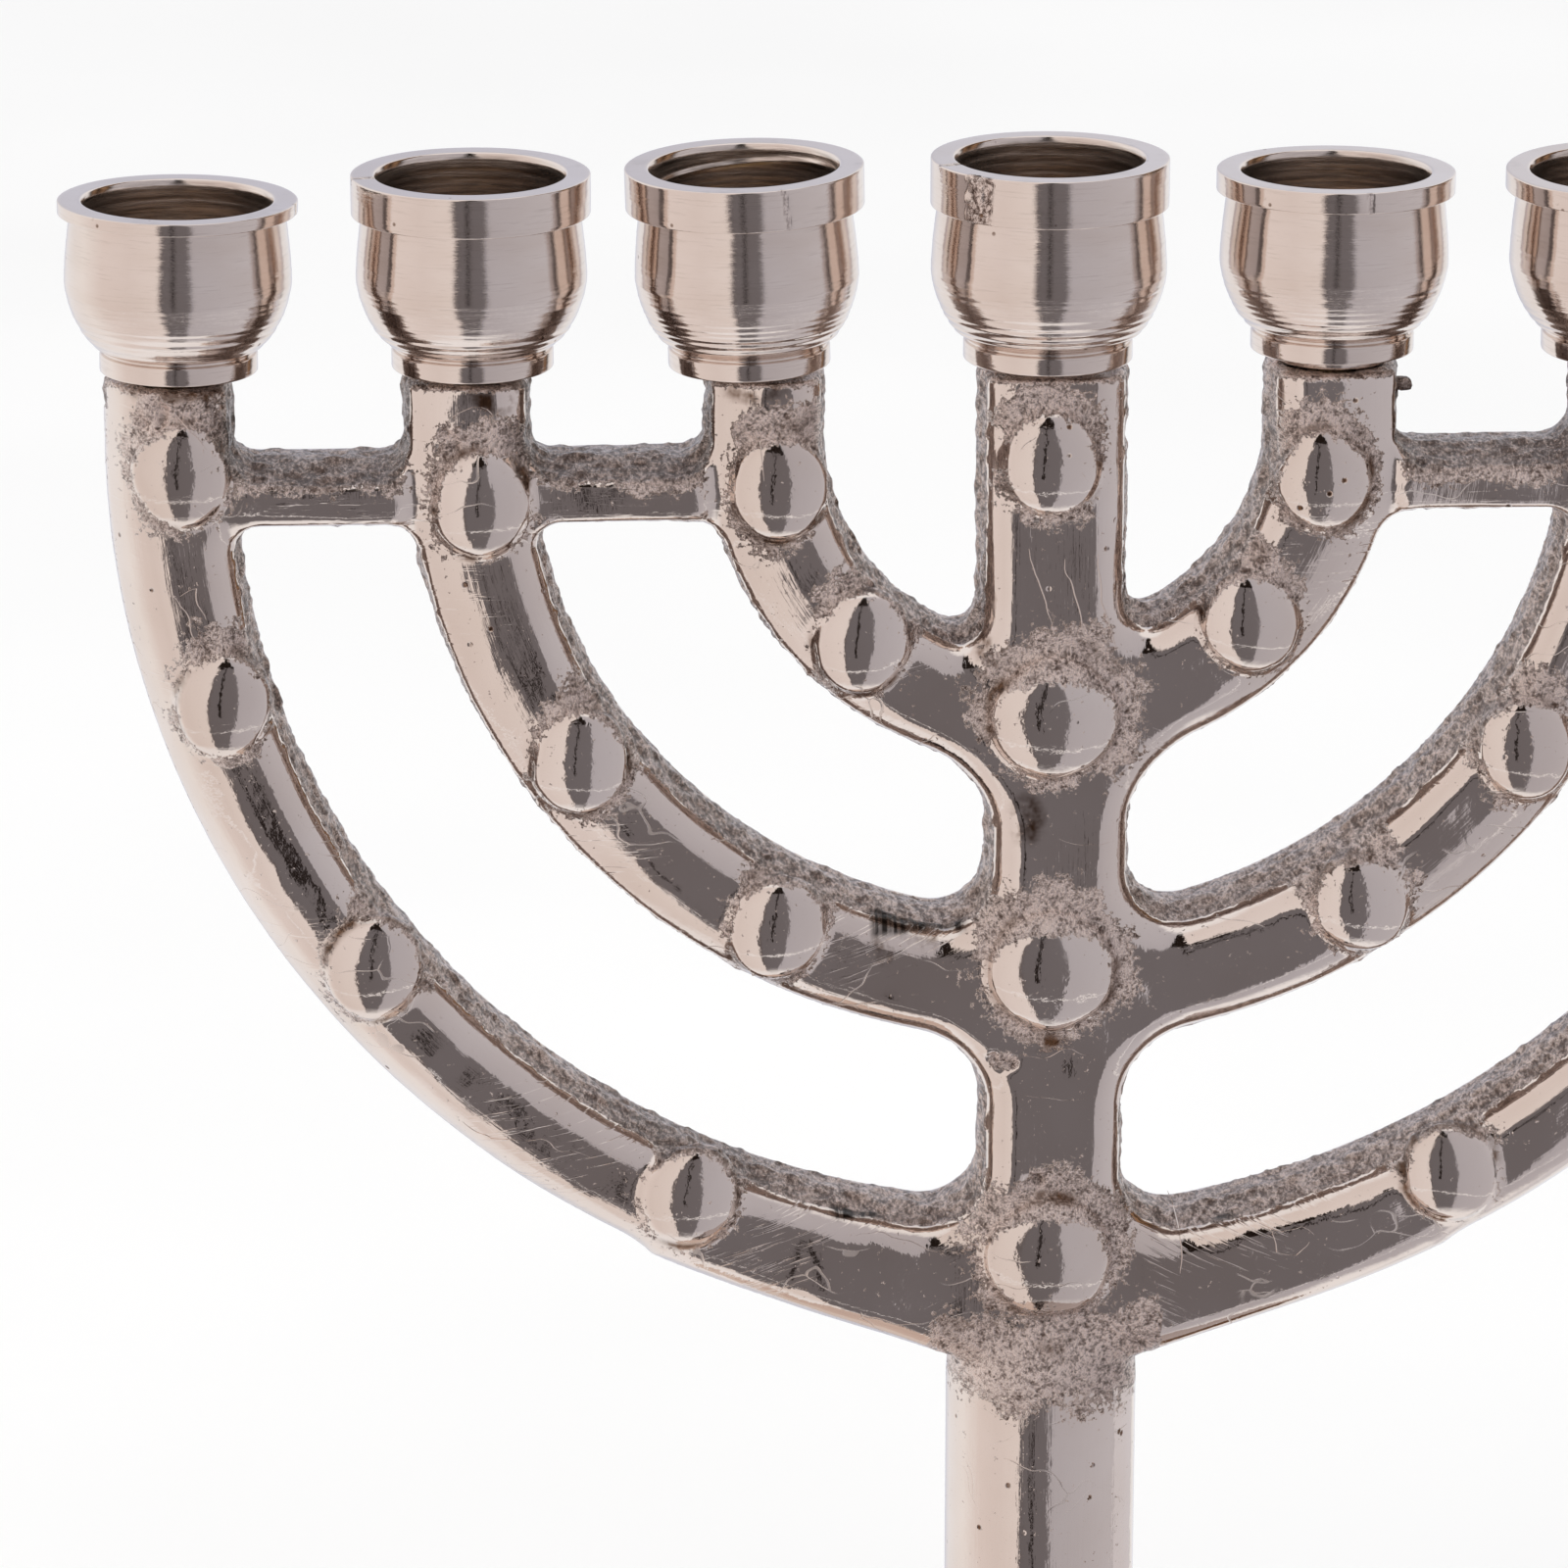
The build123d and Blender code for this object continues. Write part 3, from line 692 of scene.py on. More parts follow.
def eased(points, radius):
    """The open outline with every corner but its two ends cut back into a short curve."""
    rows = []
    count = len(points)
    for n, (r, z) in enumerate(points):
        here = Vector((r, z))
        if n in (0, count - 1):
            rows.append((r, z))
            continue
        before = Vector(points[n - 1]) - here
        after = Vector(points[n + 1]) - here
        cut = min(radius, before.length * 0.4, after.length * 0.4)
        start = here + before.normalized() * cut
        stop = here + after.normalized() * cut
        for share in (0, 0.33, 0.67, 1):
            point = start * (1 - share) ** 2 + here * 2 * share * (1 - share) + stop * share ** 2
            rows.append(tuple(point))
    return rows


def belly(height, flange, widest, foot):
    """The cup's outside from the groove over its foot up to its flange."""
    start = FOOT_HEIGHT + GROOVE
    narrow = foot - GROOVE
    top = height - flange
    rows = []
    for t in np.linspace(1, 0, 60, endpoint=False):
        swell = (1 - t ** BELLY_FULLNESS) ** (1 / BELLY_FULLNESS)
        rows.append((narrow + (widest - narrow) * swell, BELLY_HEIGHT - (BELLY_HEIGHT - start) * t))
    for t in np.linspace(0, 1, 30):
        rows.append((widest - NECK_NARROWING * t ** NECK_FULLNESS, BELLY_HEIGHT + (top - BELLY_HEIGHT) * t))
    return rows


def turning_marks(rows, seed, height):
    """Fine rings left by the cutting tool, deeper towards the foot."""
    marks = []
    for r, z in rows:
        low = float(smooth_step(height * 0.36, height * 0.12, z))
        depth = 0.012 + 0.045 * float(smooth_step(height * 0.5, 0, z))
        fine = float(noise(np.array(z), seed * 7.3, 0.0, 0.23))
        ring = fine + 0.6 * float(noise(np.array(z), seed * 3.1, 4.0, 0.6))
        groove = low * GROOVE_RINGS * math.sin(2 * math.pi * z / RING_PITCH + seed)
        marks.append((r + depth * ring + groove, z))
    return marks


def worn_cup(verts, number, height, flange):
    """The cup with its casting flaws: cracks over the rim, scars and pits on the flange."""
    x, y, z = verts.T
    radius = np.hypot(x, y)
    bearing = np.arctan2(x, -y)
    worn = np.zeros(len(verts))
    outer = radius > RIM_RADIUS - 0.15
    in_flange = smooth_step(height - flange - 0.1, height - flange + 0.2, z)
    drop = np.zeros(len(verts))
    ledge = height - LEDGE_DEPTH + LEDGE_TILT * x / BORE_RADIUS
    in_bore = (radius < BORE_RADIUS + 0.15) * (z > BORE_BOTTOM) * (number == LEDGE_CUP)
    sink = LEDGE_REACH * in_bore * np.exp(-((z - ledge) / LEDGE_WIDTH) ** 2)
    sink += FLANGE_WAVE * outer * in_flange * noise(x, y, z, 3.5)
    for cup, degrees in CRACKS:
        arc = (bearing - math.radians(degrees)) * radius + 0.12 * noise(x, y, z, 0.7)
        on_rim = (z > height - 0.5) * (radius > BORE_RADIUS - 0.05)
        crack = np.exp(-(arc / CRACK_WIDTH) ** 2) * on_rim * (cup == number)
        drop += CRACK_DEPTH * crack
        worn = np.maximum(worn, crack)
    for cup, degrees in SCARS:
        arc = (bearing - math.radians(degrees)) * radius + 0.25 * noise(z, 3.0, 0.0, 0.8)
        scar = np.exp(-(arc / SCAR_WIDTH) ** 2) * outer * in_flange * (cup == number)
        sink += SCAR_DEPTH * scar
        worn = np.maximum(worn, 0.6 * scar)
    for cup, degrees in PITTED_FLANGES:
        arc = (bearing - math.radians(degrees)) * radius + 0.3 * noise(x, y, z, 0.9)
        patch = smooth_step(1.25, 0.85, np.abs(arc)) * outer * in_flange * (cup == number)
        sink += FLANGE_PIT_DEPTH * patch * np.maximum(noise(x, y, z, 0.55) + 0.35, 0)
        worn = np.maximum(worn, patch)
    scale = 1 - sink / radius
    return np.stack([x * scale, y * scale, z - drop], 1), worn


def candle_cup(number, x, seat, height, flange, widest, foot):
    """One turned cup, standing on its branch with a slight lean."""
    side = turning_marks(belly(height, flange, widest, foot), number, height)
    step = (side[-1][0], height - flange)
    below = eased([
        (CLEARANCE_RADIUS, -seat), (SEAT_RADIUS, -seat), (SEAT_RADIUS, 0), (foot, 0), (foot, FOOT_HEIGHT),
        (foot - GROOVE, FOOT_HEIGHT + 0.05), side[0],
    ], 0.16)
    rim = along(eased([
        step, (RIM_RADIUS, height - flange), (RIM_RADIUS, height), (BORE_RADIUS + 0.2, height),
        (BORE_RADIUS, height - 0.4), (BORE_RADIUS, height - 1.0),
    ], 0.12), 0.2)
    straight = along([(BORE_RADIUS, height - 1.0), (BORE_RADIUS, BORE_BOTTOM)], 0.12)
    bore = turning_marks(straight, number + 20, 0.1)
    hollow = eased([
        (BORE_RADIUS, BORE_BOTTOM), (FLOOR_RADIUS, FLOOR_HEIGHT), (CLEARANCE_RADIUS, FLOOR_HEIGHT),
        (CLEARANCE_RADIUS, FLOOR_HEIGHT - 1),
    ], 0.3)
    profile = below[:-1] + side + rim[1:-1] + bore + hollow[1:]
    first = len(below) + len(side)
    inside = []
    for n, (r, z) in enumerate(profile):
        inside.append(float(n > first and r < BORE_RADIUS + 0.1) * min(1, (height - z) / 0.5))

    def wear(verts):
        return worn_cup(verts, number, height, flange)

    name = "candle_cup_" + str(number) + "_turned"
    cup = lathe(name, profile, CUP_STEPS, (("inside", inside),), wear)
    forward, aside = CUP_LEANS[number - 1]
    cup.rotation_euler = (math.radians(forward), math.radians(aside), 0)
    cup.location = Vector((x, 0, BRANCH_TOP + seat)) * MM
    return cup


def hermite(points, start, stop):
    """A smooth curve through the points, with the given directions at its two ends."""
    points = [Vector(p) for p in points]
    last = len(points) - 1
    rows = []
    for n in range(last):
        span = (points[n + 1] - points[n]).length
        leave = Vector(start) * span if n == 0 else (points[n + 1] - points[n - 1]) / 2
        arrive = Vector(stop) * span if n + 1 == last else (points[n + 2] - points[n]) / 2
        for t in np.linspace(0, 1, CURVE_STEPS, endpoint=False):
            rows.append(tuple(
                points[n] * (2 * t ** 3 - 3 * t ** 2 + 1) + leave * (t ** 3 - 2 * t ** 2 + t)
                + points[n + 1] * (3 * t ** 2 - 2 * t ** 3) + arrive * (t ** 3 - t ** 2)
            ))
    rows.append(tuple(points[-1]))
    return rows


def pedestal():
    """The turned bell-shaped foot."""
    bell = hermite(BELL_CURVE, (0, 1), (0, 1))
    hollow = hermite(HOLLOW_CURVE, (-0.4, 0.9), (-0.9, 0.2))
    band = eased([(HOLLOW_CURVE[0][0], 0), (PEDESTAL_RADIUS, 0), (PEDESTAL_RADIUS, RIM_BAND),
                  (RIM_STEP, RIM_BAND), (RIM_STEP, BELL_CURVE[0][1]), bell[0]], 0.5)
    top = eased([bell[-1], (BELL_CURVE[-1][0], PEDESTAL_TOP), (STUD_HOLE_RADIUS, PEDESTAL_TOP),
                 (STUD_HOLE_RADIUS, HUB_BOTTOM), hollow[-1]], 0.4)
    marked = turning_marks(bell, 31, 1.0)
    profile = band[:-1] + marked + top[1:-1] + hollow[::-1][:-1]
    return lathe("pedestal_turned", profile, steps=320)


def column_collar():
    """The collar's two round beads and its waist."""
    profile = [(COLLAR_BORE, PEDESTAL_TOP)]
    half = COLLAR_BEAD / 2
    lower = PEDESTAL_TOP + COLLAR_BEAD
    upper = COLUMN_BOTTOM - COLLAR_BEAD
    waist = eased([
        (COLLAR_WAIST + 0.5, lower), (COLLAR_WAIST, lower + 0.4),
        (COLLAR_WAIST, upper - 0.4), (COLLAR_WAIST + 0.5, upper),
    ], 0.3)
    for middle in (PEDESTAL_TOP + half, COLUMN_BOTTOM - half):
        for angle in np.linspace(-90, 90, 19):
            a = math.radians(angle)
            profile.append((COLLAR_RADIUS - half + half * math.cos(a), middle + half * math.sin(a)))
        if middle < lower:
            profile += waist
    profile.append((COLLAR_BORE, COLUMN_BOTTOM))
    return lathe("column_collar_turned", profile)


# ---- materials

class Nodes:
    """A short way to build a node tree."""

    def __init__(self, tree):
        self.tree = tree

    def node(self, kind, values=(), links=(), **settings):
        made = self.tree.nodes.new(kind)
        for key, value in settings.items():
            setattr(made, key, value)
        for key, value in dict(values).items():
            made.inputs[key].default_value = value
        for key, source in dict(links).items():
            self.tree.links.new(source, made.inputs[key])
        return made

    def math(self, operation, *terms):
        made = self.node("ShaderNodeMath", operation=operation)
        for socket, term in zip(made.inputs, terms):
            if isinstance(term, (int, float)):
                socket.default_value = term
            else:
                self.tree.links.new(term, socket)
        return made.outputs[0]

    def times(self, a, b):
        return self.math("MULTIPLY", a, b)

    def plus(self, a, b):
        return self.math("ADD", a, b)

    def rest(self, share):
        """What the share leaves of 1."""
        return self.math("SUBTRACT", 1.0, share)

    def mix(self, share, a, b):
        made = self.node("ShaderNodeMix", data_type="RGBA")
        for key, term in (("Factor", share), ("A", a), ("B", b)):
            socket = [s for s in made.inputs if s.name == key and s.enabled][0]
            if isinstance(term, tuple):
                socket.default_value = (*term, 1.0)
            elif isinstance(term, float):
                socket.default_value = term
            else:
                self.tree.links.new(term, socket)
        return [s for s in made.outputs if s.enabled][0]


class Shader(Nodes):
    """A Principled material and the textures it is built from."""

    def __init__(self, name):
        self.material = bpy.data.materials.new(name)
        self.material.use_nodes = True
        super().__init__(self.material.node_tree)
        self.skin = self.tree.nodes["Principled BSDF"]

    def place(self, scale):
        """Object coordinates stretched by scale, per metre: one number, or one for each axis."""
        scale = scale if isinstance(scale, tuple) else (scale, scale, scale)
        where = self.node("ShaderNodeTexCoord").outputs["Object"]
        return self.node("ShaderNodeMapping", {"Scale": scale}, {"Vector": where}).outputs["Vector"]

    def noise_at(self, where, detail=2.0, roughness=0.5):
        values = {"Scale": 1.0, "Detail": detail, "Roughness": roughness}
        return self.node("ShaderNodeTexNoise", values, {"Vector": where}).outputs["Fac"]

    def noise(self, scale, detail=2.0, roughness=0.5):
        return self.noise_at(self.place(scale), detail, roughness)

    def flat(self, x, y):
        return self.node("ShaderNodeCombineXYZ", (), {"X": x, "Y": y}).outputs["Vector"]

    def attribute(self, name):
        return self.node("ShaderNodeAttribute", attribute_name=name).outputs["Fac"]

    def ramp(self, source, low, high, to_low=0.0, to_high=1.0):
        values = {"From Min": low, "From Max": high, "To Min": to_low, "To Max": to_high}
        return self.node("ShaderNodeMapRange", values, {"Value": source}).outputs["Result"]

    def bump(self, height, distance, under=None):
        links = {"Height": height}
        if under is not None:
            links["Normal"] = under
        return self.node("ShaderNodeBump", {"Strength": 1.0, "Distance": distance}, links).outputs["Normal"]

    def finish(self, metallic=1.0, **sources):
        self.skin.inputs["Metallic"].default_value = metallic
        for key, source in sources.items():
            socket = self.skin.inputs[key.replace("_", " ")]
            if isinstance(source, float):
                socket.default_value = source
            else:
                self.tree.links.new(source, socket)
        return self.material


NICKEL = (0.81, 0.72, 0.665)
NICKEL_WARM = (0.75, 0.65, 0.585)
CAST_NICKEL = (0.83, 0.71, 0.65)
# Painted shade: a darker, warmer copy of the rough cast colour, used on the walls
SHADED_WALL_NICKEL = (0.64, 0.515, 0.455)
# Painted shade: the dark of the sand grain, laid in the hollows of its bump relief
CAST_SHADE = (0.13, 0.088, 0.072)
TARNISH = (0.15, 0.08, 0.045)
# Grime and painted shade: the dark at the tops of the bars, and grime on walls that face up
GRIME_AND_SHADE = (0.085, 0.055, 0.042)
SOOT = (0.018, 0.014, 0.012)
# Painted shade inside the cups' bores, between lighter bands
BORE_SHADE = (0.34, 0.28, 0.24)
BORE_LIGHT = (0.84, 0.74, 0.67)
BRASS = (0.62, 0.45, 0.22)
BRASS_DARK = (0.30, 0.20, 0.10)
STEEL = (0.55, 0.55, 0.55)
STEEL_DARK = (0.32, 0.30, 0.28)

# Heights of the relief in the materials, in metres
SAND_BUMP = 0.00026
BRUSH_BUMP = 0.000022
UNEVEN_BUMP = 0.000045
HAIRLINE_BUMP = 0.000007
RING_BUMP = 0.000016
SCAR_BUMP = 0.00012
SPUN_BUMP = 0.000006
HARDWARE_BUMP = 0.00001


def pinholes(s, scale, edge, patch_scale, low, high):
    """Small dark holes, only in some patches."""
    where = {"Vector": s.place(scale)}
    cell = s.node("ShaderNodeTexVoronoi", {"Scale": 1.0}, where).outputs["Distance"]
    return s.times(s.ramp(cell, edge, 0.06), s.ramp(s.noise(patch_scale, 1.0), low, high))


def hairlines(s):
    """Thin broken scratches that wander over the polish."""
    values = {"Scale": 1.0, "Detail": 2.0}
    wander = s.node("ShaderNodeTexNoise", values, {"Vector": s.place(160)}).outputs["Color"]
    bent = s.node("ShaderNodeVectorMath", operation="ADD")
    s.tree.links.new(s.place((70, 70, 210)), bent.inputs[0])
    s.tree.links.new(wander, bent.inputs[1])
    where = {"Vector": bent.outputs[0]}
    edge = s.node("ShaderNodeTexVoronoi", {"Scale": 1.0}, where, feature="DISTANCE_TO_EDGE")
    thin = s.ramp(edge.outputs["Distance"], 0.010, 0.004)
    return s.times(thin, s.ramp(s.noise(110), 0.54, 0.60))


def brushing(s):
    """Polishing lines that follow each branch, or run down the stem, where they show at all."""
    lane = s.times(s.attribute("across"), 3.4)
    run = s.times(s.attribute("along"), 0.16)
    drawn = s.noise_at(s.flat(lane, run), 3.0, 0.6)
    stem = s.attribute("stem")
    upright = s.noise((3400, 900, 170), 3.0, 0.6)
    both = s.plus(s.times(drawn, s.rest(stem)), s.times(upright, stem))
    patchy = s.times(both, s.ramp(s.noise(130), 0.42, 0.62, 0.10, 1.0))
    step = s.times(s.attribute("along"), 2.4)
    width = s.times(s.attribute("across"), 0.30)
    strokes = s.noise_at(s.flat(step, width))
    strokes = s.times(s.ramp(strokes, 0.56, 0.70), s.ramp(s.noise(85, 1.0), 0.52, 0.60))
    strokes = s.times(strokes, s.rest(stem))
    lines = s.math("MULTIPLY_ADD", strokes, 1.2, patchy)
    return s.times(lines, s.math("MULTIPLY_ADD", s.attribute("dome"), -0.85, 1.0))


def cast_nickel():
    """Hand-polished nickel over a sand casting, left rough on its walls and in patches."""
    s = Shader("cast_nickel_skin")
    broken = s.ramp(s.noise((2300, 1200, 2300), 3.0, 0.65), 0.28, 0.72, -0.5, 0.5)
    rough = s.ramp(s.plus(s.attribute("rough"), broken), 0.42, 0.56)
    cloud = s.ramp(s.noise(90, 3.0), 0.35, 0.7)
    clean = s.mix(cloud, NICKEL, NICKEL_WARM)
    grain = s.noise((3900, 1700, 3900), 3.0, 0.7)
    coarse = s.noise((1500, 700, 1500), 2.0, 0.5)
    both = s.plus(grain, s.times(coarse, 0.6))
    # Walls get a darker copy of the rough colour and the face's patches a lighter grain: painted shade on
    # the walls.
    lighter = s.math("MULTIPLY_ADD", s.rest(s.attribute("wall")), 0.07, both)
    bright = s.mix(s.attribute("wall"), CAST_NICKEL, SHADED_WALL_NICKEL)
    # The grain's colour follows its bump: CAST_SHADE in the hollows is painted shade.
    dull = s.mix(s.ramp(lighter, 0.66, 0.92), CAST_SHADE, bright)
    colour = s.mix(rough, clean, dull)
    # Grime and painted shade on the rough parts, deepest in the hollows of the grain.
    dirt_and_shade = s.times(s.attribute("grime_and_shade"), rough)
    dirt_and_shade = s.times(dirt_and_shade, s.ramp(grain, 0.62, 0.42, 0.35, 0.95))
    colour = s.mix(dirt_and_shade, colour, GRIME_AND_SHADE)
    stain = s.ramp(s.noise(230, 4.0, 0.65), 0.56, 0.74)
    spotted = s.times(s.attribute("crevice"), s.ramp(s.noise(420, 3.0, 0.6), 0.44, 0.62))
    stained = s.math("MAXIMUM", spotted, s.times(stain, s.times(rough, 0.5)))
    colour = s.mix(stained, colour, TARNISH)
    polished = s.rest(rough)
    pin = s.times(pinholes(s, 420, 0.11, 120, 0.52, 0.6), polished)
    colour = s.mix(pin, colour, TARNISH)
    teeth = s.ramp(s.noise((2300, 60, 170)), 0.56, 0.46)
    toothed = s.math("MULTIPLY_ADD", teeth, 0.35, 0.62)
    colour = s.mix(s.times(s.attribute("comb"), toothed), colour, SOOT)
    line = s.times(hairlines(s), polished)
    height = s.math("SUBTRACT", s.times(both, rough), s.times(pin, 0.5))
    sand = s.bump(height, SAND_BUMP)
    brushed = s.bump(brushing(s), BRUSH_BUMP, sand)
    patches = s.ramp(s.noise(150), 0.35, 0.65, 0.25, 1.0)
    uneven = s.bump(s.times(s.noise(900, 3.0, 0.5), patches), UNEVEN_BUMP, brushed)
    polish = s.bump(s.times(line, -1.5), HAIRLINE_BUMP, uneven)
    shine = s.ramp(s.noise(400, 4.0, 0.6), 0.3, 0.7, 0.04, 0.085)
    dullness = s.plus(shine, s.times(line, 0.35))
    dullness = s.plus(s.times(rough, 0.14), dullness)
    return s.finish(Base_Color=colour, Roughness=dullness, Normal=polish)


def turned_nickel():
    """Nickel turned on a lathe: fine level rings, and a dry, dull bore painted darker below its rim as
    shade, in light and dark bands.
    """
    s = Shader("turned_nickel_skin")
    inside = s.attribute("inside")
    worn = s.attribute("rough")
    cloud = s.ramp(s.noise((120, 120, 300), 3.0), 0.35, 0.7)
    clean = s.mix(cloud, NICKEL, NICKEL_WARM)
    streak = s.ramp(s.noise((260, 260, 5600), 3.0, 0.7), 0.56, 0.80)
    clean = s.mix(s.times(streak, 0.45), clean, tuple(c * 0.6 for c in NICKEL_WARM))
    bands = s.ramp(s.noise((150, 150, 2600), 4.0, 0.7), 0.38, 0.62)
    # Painted shade: the bore darkens over its first half millimetre below the rim, in light and dark bands.
    bore = s.mix(bands, BORE_SHADE, BORE_LIGHT)
    colour = s.mix(inside, clean, bore)
    grain = s.noise(2600, 3.0, 0.7)
    # Worn places take the rough cast colour, dark where the grain's bump is low: painted shade.
    colour = s.mix(worn, colour, s.mix(s.ramp(grain, 0.4, 0.6), CAST_SHADE, CAST_NICKEL))
    pin = pinholes(s, 520, 0.10, 150, 0.58, 0.64)
    colour = s.mix(pin, colour, TARNISH)
    broad = s.times(s.noise((90, 90, 1900)), 1.4)
    rings = s.plus(s.noise((420, 420, 6200), 3.0, 0.65), broad)
    level = s.bump(rings, RING_BUMP)
    height = s.bump(s.times(grain, worn), SCAR_BUMP, level)
    shine = s.ramp(s.noise((90, 90, 2600), 3.0, 0.6), 0.3, 0.7, 0.05, 0.10)
    dullness = s.plus(s.times(s.math("MAXIMUM", inside, worn), 0.16), shine)
    return s.finish(Base_Color=colour, Roughness=dullness, Normal=height)


def spun_nickel():
    """Polished nickel on the foot, with faint rings and cloudy marks."""
    s = Shader("spun_nickel_skin")
    cloud = s.ramp(s.noise(70, 4.0, 0.6), 0.35, 0.7)
    colour = s.mix(cloud, NICKEL, NICKEL_WARM)
    scratch = s.plus(s.noise((30, 30, 2600), 2.0, 0.6), s.noise(900, 3.0, 0.6))
    shine = s.ramp(s.noise(300, 4.0, 0.6), 0.3, 0.7, 0.07, 0.15)
    return s.finish(Base_Color=colour, Roughness=shine, Normal=s.bump(scratch, SPUN_BUMP))


def plain_metal(name, colour, dark, dullness):
    """Small hardware: brushed metal with darker blotches."""
    s = Shader(name)
    blotch = s.ramp(s.noise(900, 4.0, 0.6), 0.4, 0.7)
    tint = s.mix(blotch, colour, dark)
    shine = s.ramp(s.noise(1500, 3.0, 0.6), 0.3, 0.7, dullness * 0.7, dullness * 1.3)
    lines = s.bump(s.noise((3000, 700, 3000)), HARDWARE_BUMP)
    return s.finish(Base_Color=tint, Roughness=shine, Normal=lines)


def floor_material():
    """A pale matt floor."""
    s = Shader("floor_skin")
    tint = s.mix(s.ramp(s.noise(8), 0.3, 0.7), (0.90, 0.90, 0.90), (0.93, 0.93, 0.93))
    return s.finish(metallic=0.0, Base_Color=tint, Roughness=0.8)


# ---- studio

PANELS = (
    # direction from the front, in degrees towards +X, and the brightness that starts there
    (-180, (0.62, 0.64, 0.74)),
    (-152, (0.93, 0.94, 0.97)),
    (-112, (0.98, 0.97, 0.97)),
    (-82, (0.86, 0.79, 0.77)),
    (-50, (0.82, 0.75, 0.73)),
    (-19.5, (0.87, 0.81, 0.79)),
    (-18.5, (0.12, 0.10, 0.10)),
    (-16, (0.17, 0.158, 0.168)),
    (14.0, (0.18, 0.168, 0.18)),
    (15.0, (0.50, 0.49, 0.53)),
    (90, (0.60, 0.59, 0.63)),
    (97, (0.03, 0.018, 0.012)),
    (106, (0.36, 0.215, 0.125)),
    (115, (0.02, 0.012, 0.008)),
    (125, (0.30, 0.18, 0.11)),
    (131, (0.05, 0.035, 0.03)),
    (139, (0.93, 0.93, 0.94)),
    (158, (0.90, 0.92, 0.96)),
    (180, (0.62, 0.64, 0.74)),
)
SIDE_GREY = (0.72, 0.71, 0.75)
SLIT_BLACK = (0.014, 0.009, 0.007)
OVERHEAD_WHITE = (0.98, 0.98, 1.0)
CARD_TOP = 0.42              # sine of the height where the front gap turns black
CARD_EDGES = (-18.5, 14.5)   # its sides, in degrees
STREAK_EDGES = (-5.8, -3.2)  # a thin dark slit in the gap
STREAK_BOTTOM = -0.42
CARD_NARROWING = 1.5         # the gap narrows away from the level of LEVEL
LEVEL = -0.31
NARROWED = 0.5               # radians from the front within which it narrows
BROWN_EDGES = (92, 136)      # brown slats, seen only above BROWN_BOTTOM
BROWN_BOTTOM = -0.36
OVERHEAD_EDGE = (0.82, 0.93)     # sines between which the tent turns white
LINE = (-0.62, 0.007)        # a thin white line below: sine of its height, half width


def studio():
    """A light tent with a grey gap in front, seen only in reflections; white elsewhere."""
    world = bpy.data.worlds.new("studio")
    bpy.context.scene.world = world
    world.use_nodes = True
    world.node_tree.nodes.clear()
    s = Nodes(world.node_tree)
    where = s.node("ShaderNodeTexCoord").outputs["Generated"]
    x, y, z = s.node("ShaderNodeSeparateXYZ", (), {"Vector": where}).outputs
    bearing = s.math("ARCTAN2", x, s.times(y, -1.0))
    off_level = s.math("SUBTRACT", z, LEVEL)
    squeeze = s.times(s.times(off_level, off_level), CARD_NARROWING)
    spread = s.math("DIVIDE", bearing, NARROWED)
    ahead = s.math("POWER", math.e, s.times(s.times(spread, spread), -1.0))
    angle = s.times(bearing, s.math("MULTIPLY_ADD", squeeze, ahead, 1.0))

    def between(edges):
        after = s.math("GREATER_THAN", angle, math.radians(edges[0]))
        return s.times(after, s.math("LESS_THAN", angle, math.radians(edges[1])))

    share = s.math("MULTIPLY_ADD", angle, 0.5 / math.pi, 0.5)
    ramp = s.node("ShaderNodeValToRGB", (), {"Fac": share})
    stops = ramp.color_ramp.elements
    stops.remove(stops[1])
    for number, (degrees, colour) in enumerate(PANELS):
        place = degrees / 360 + 0.5
        stop = stops[0] if number == 0 else stops.new(place)
        stop.position = place
        stop.color = (*colour, 1.0)
    edges = {"From Min": OVERHEAD_EDGE[0], "From Max": OVERHEAD_EDGE[1]}
    steep = {"Value": s.math("ABSOLUTE", z)}
    overhead = s.node("ShaderNodeMapRange", edges, steep, interpolation_type="SMOOTHSTEP")
    white = s.math("MAXIMUM", overhead.outputs["Result"], s.math("COMPARE", z, *LINE))
    card = s.times(between(CARD_EDGES), s.math("GREATER_THAN", z, CARD_TOP))
    slit = s.times(between(STREAK_EDGES), s.math("GREATER_THAN", z, STREAK_BOTTOM))
    plain_side = s.times(between(BROWN_EDGES), s.math("LESS_THAN", z, BROWN_BOTTOM))
    seen = s.mix(plain_side, ramp.outputs["Color"], SIDE_GREY)
    seen = s.mix(s.math("MAXIMUM", card, slit), seen, SLIT_BLACK)
    seen = s.mix(white, seen, OVERHEAD_WHITE)
    tent = s.node("ShaderNodeBackground", (), {"Color": seen})
    plain = s.node("ShaderNodeBackground", {"Color": (1.0, 1.0, 1.0, 1.0), "Strength": 1.0})
    glossy = s.node("ShaderNodeLightPath").outputs["Is Glossy Ray"]
    choose = s.node("ShaderNodeMixShader", (), {"Fac": glossy})
    s.tree.links.new(plain.outputs[0], choose.inputs[1])
    s.tree.links.new(tent.outputs[0], choose.inputs[2])
    s.node("ShaderNodeOutputWorld", (), {"Surface": choose.outputs[0]})


def softbox(name, place, target, size, power, colour):
    """A large soft area light that doesn't show itself."""
    data = bpy.data.lights.new(name, "AREA")
    data.shape = "SQUARE"
    data.size = size
    data.energy = power
    data.color = colour
    light = bpy.data.objects.new(name, data)
    bpy.context.scene.collection.objects.link(light)
    light.location = place
    light.rotation_euler = (Vector(target) - Vector(place)).to_track_quat("-Z", "Y").to_euler()
    light.visible_camera = False
    light.visible_glossy = False


